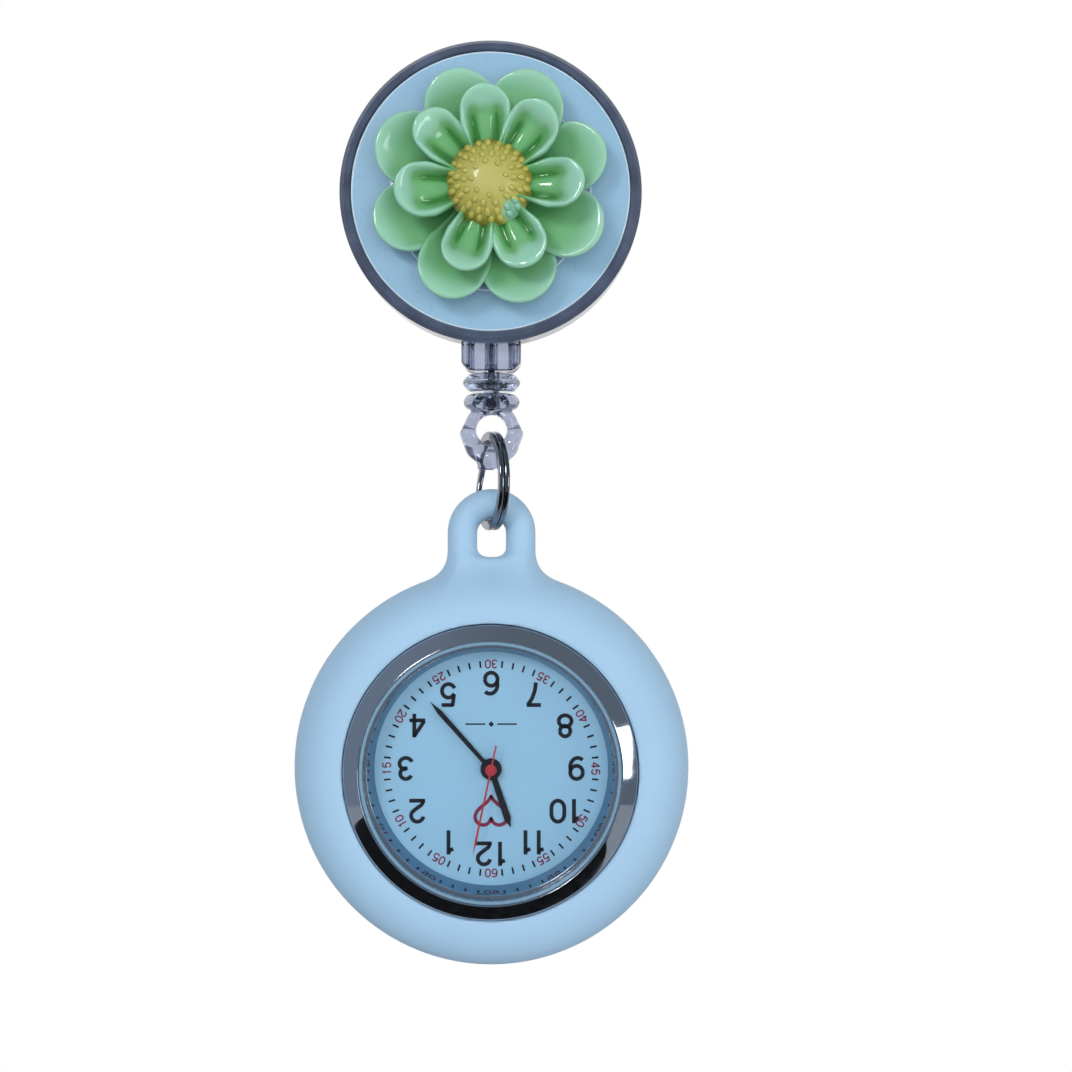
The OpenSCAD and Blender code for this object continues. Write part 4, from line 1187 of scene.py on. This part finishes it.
def make_dial():
    """The dial and its print, with a rule with a diamond in it where the real dial has a word."""
    radius = half_width("dial")
    face = [(0.85, 1.2), (radius, 1.2), (radius, DIAL_TOP), (0.85, DIAL_TOP)]
    add("dial_face", lathe(WATCH, face, 0.04), "watch", "dial_blue", DIAL, ("dial",), sharp=30)
    black, red, mark = bmesh.new(), bmesh.new(), bmesh.new()
    for hour in range(1, 13):
        number = figure_mesh(str(hour), FIGURE_HIGH, 0.42)
        print_on_dial(black, number, clock_place(hour * 30, HOURS_R), UPRIGHT)
    print_minutes(black, red)
    for side in (-1, 1):
        print_on_dial(black, band([(-1.05, 0), (1.05, 0)], 0.16), Vector((side * 1.7, RULE_Y)), UPRIGHT)
    print_on_dial(black, band([(-0.22, 0), (0.22, 0)], 0.44), Vector((0, RULE_Y)), DIAGONAL)
    print_on_dial(mark, band(heart_outline(), 0.38, closed=True), Vector((0, HEART_Y)), UPRIGHT)
    add("dial_figures", black, "watch", "black_hands", INK, sharp=30)
    add("dial_minutes", red, "watch", "red_hand", RED_INK, sharp=30)
    add("dial_heart", mark, "watch", "red_hand", RED_INK, sharp=30)


def make_hands():
    dress("hour_hand", "hour_pointer", "hours", "black_hands", BLACK, 0.04)
    dress("minute_hand", "minute_pointer", "minutes", "black_hands", BLACK, 0.04)
    dress("second_hand", "second_pointer", "seconds", "red_hand", RED, 0.025)


# ---- the clip ----

WIRE_R = 0.25
COIL_R = 1.3
COILS = 7
COIL_PITCH = 0.42
LEG_TILT = math.radians(6)


def make_clip():
    dress("clip_base", "clip_plate", "clip", "steel", STEEL, 0.14)
    dress("clip_lever", "clip_arm", "clip_lever", "steel", STEEL, 0.14)
    dress("clip_pin", "hinge_pin", "clip", "steel", STEEL, 0.12)


def make_clip_spring():
    """The coil and its leg on the base, and a second leg that rides on the lever."""
    pin = middle("clip_pin")
    place = Place((0, pin.y, pin.z))
    half = (COILS - 1) / 2 * COIL_PITCH
    last = COILS * 40 + 20
    coil = [place(half, -6 + 6 * i / 12, COIL_R) for i in range(12)]
    for i in range(last + 1):
        a = i / 40 * TAU
        coil.append(place(half - 2 * half * i / last, COIL_R * math.sin(a), COIL_R * math.cos(a)))
    arm = []
    for i in range(13):
        s = -3.5 * i / 12
        arm.append(place(-half, s * math.cos(LEG_TILT), -COIL_R + s * math.sin(LEG_TILT)))
    wire = circle(WIRE_R, 12)
    across = Vector((1, 0, 0))
    add("spring_coil", sweep(coil, wire, up=across), "clip", "spring_steel", SPRING, ("clip_spring",),
        sharp=60)
    add("spring_leg", sweep(arm, wire, up=across), "clip_lever", "spring_steel", SPRING, sharp=60)


# ---- the nodes that keep their CAD shape ----

KEPT = {
    "hub_screw": STEEL, "power_spring": SPRING, "spool": WHITE, "hour_wheel": BRASS, "minute_wheel": BRASS,
    "centre_wheel": BRASS, "third_wheel": BRASS, "fourth_wheel": BRASS, "intermediate_wheel": BRASS,
    "rotor": MAGNET, "stator": STEEL, "coil": COPPER, "circuit_board": BOARD, "quartz_can": STEEL,
    "battery": STEEL, "battery_contact": BRASS, "main_plate": PLATE, "train_bridge": PLATE,
    "bridge_screws": STEEL, "stem": STEEL, "crown": CHROME, "clutch_wheel": STEEL, "setting_lever": STEEL,
    "movement_holder": WHITE, "back_gasket": RUBBER,
}


def finish_kept_nodes():
    for node, mat in KEPT.items():
        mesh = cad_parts[node].data
        mesh.materials.clear()
        mesh.materials.append(mat)
        mesh.polygons.foreach_set("use_smooth", [True] * len(mesh.polygons))
        mesh.polygons.foreach_set("material_index", [0] * len(mesh.polygons))
        mesh.set_sharp_from_angle(angle=math.radians(30))


make_camera()
make_room()
make_lamps()
make_floor()
make_reel_case()
make_flower()
make_flower_centre()
make_pull_cord()
make_lead_cord()
make_wound_cord()
make_guide()
make_stopper()
make_eye()
make_knot()
make_split_ring()
make_sleeve()
make_watch_case()
make_dial()
make_hands()
make_clip()
make_clip_spring()
finish_kept_nodes()

bpy.context.view_layer.update()
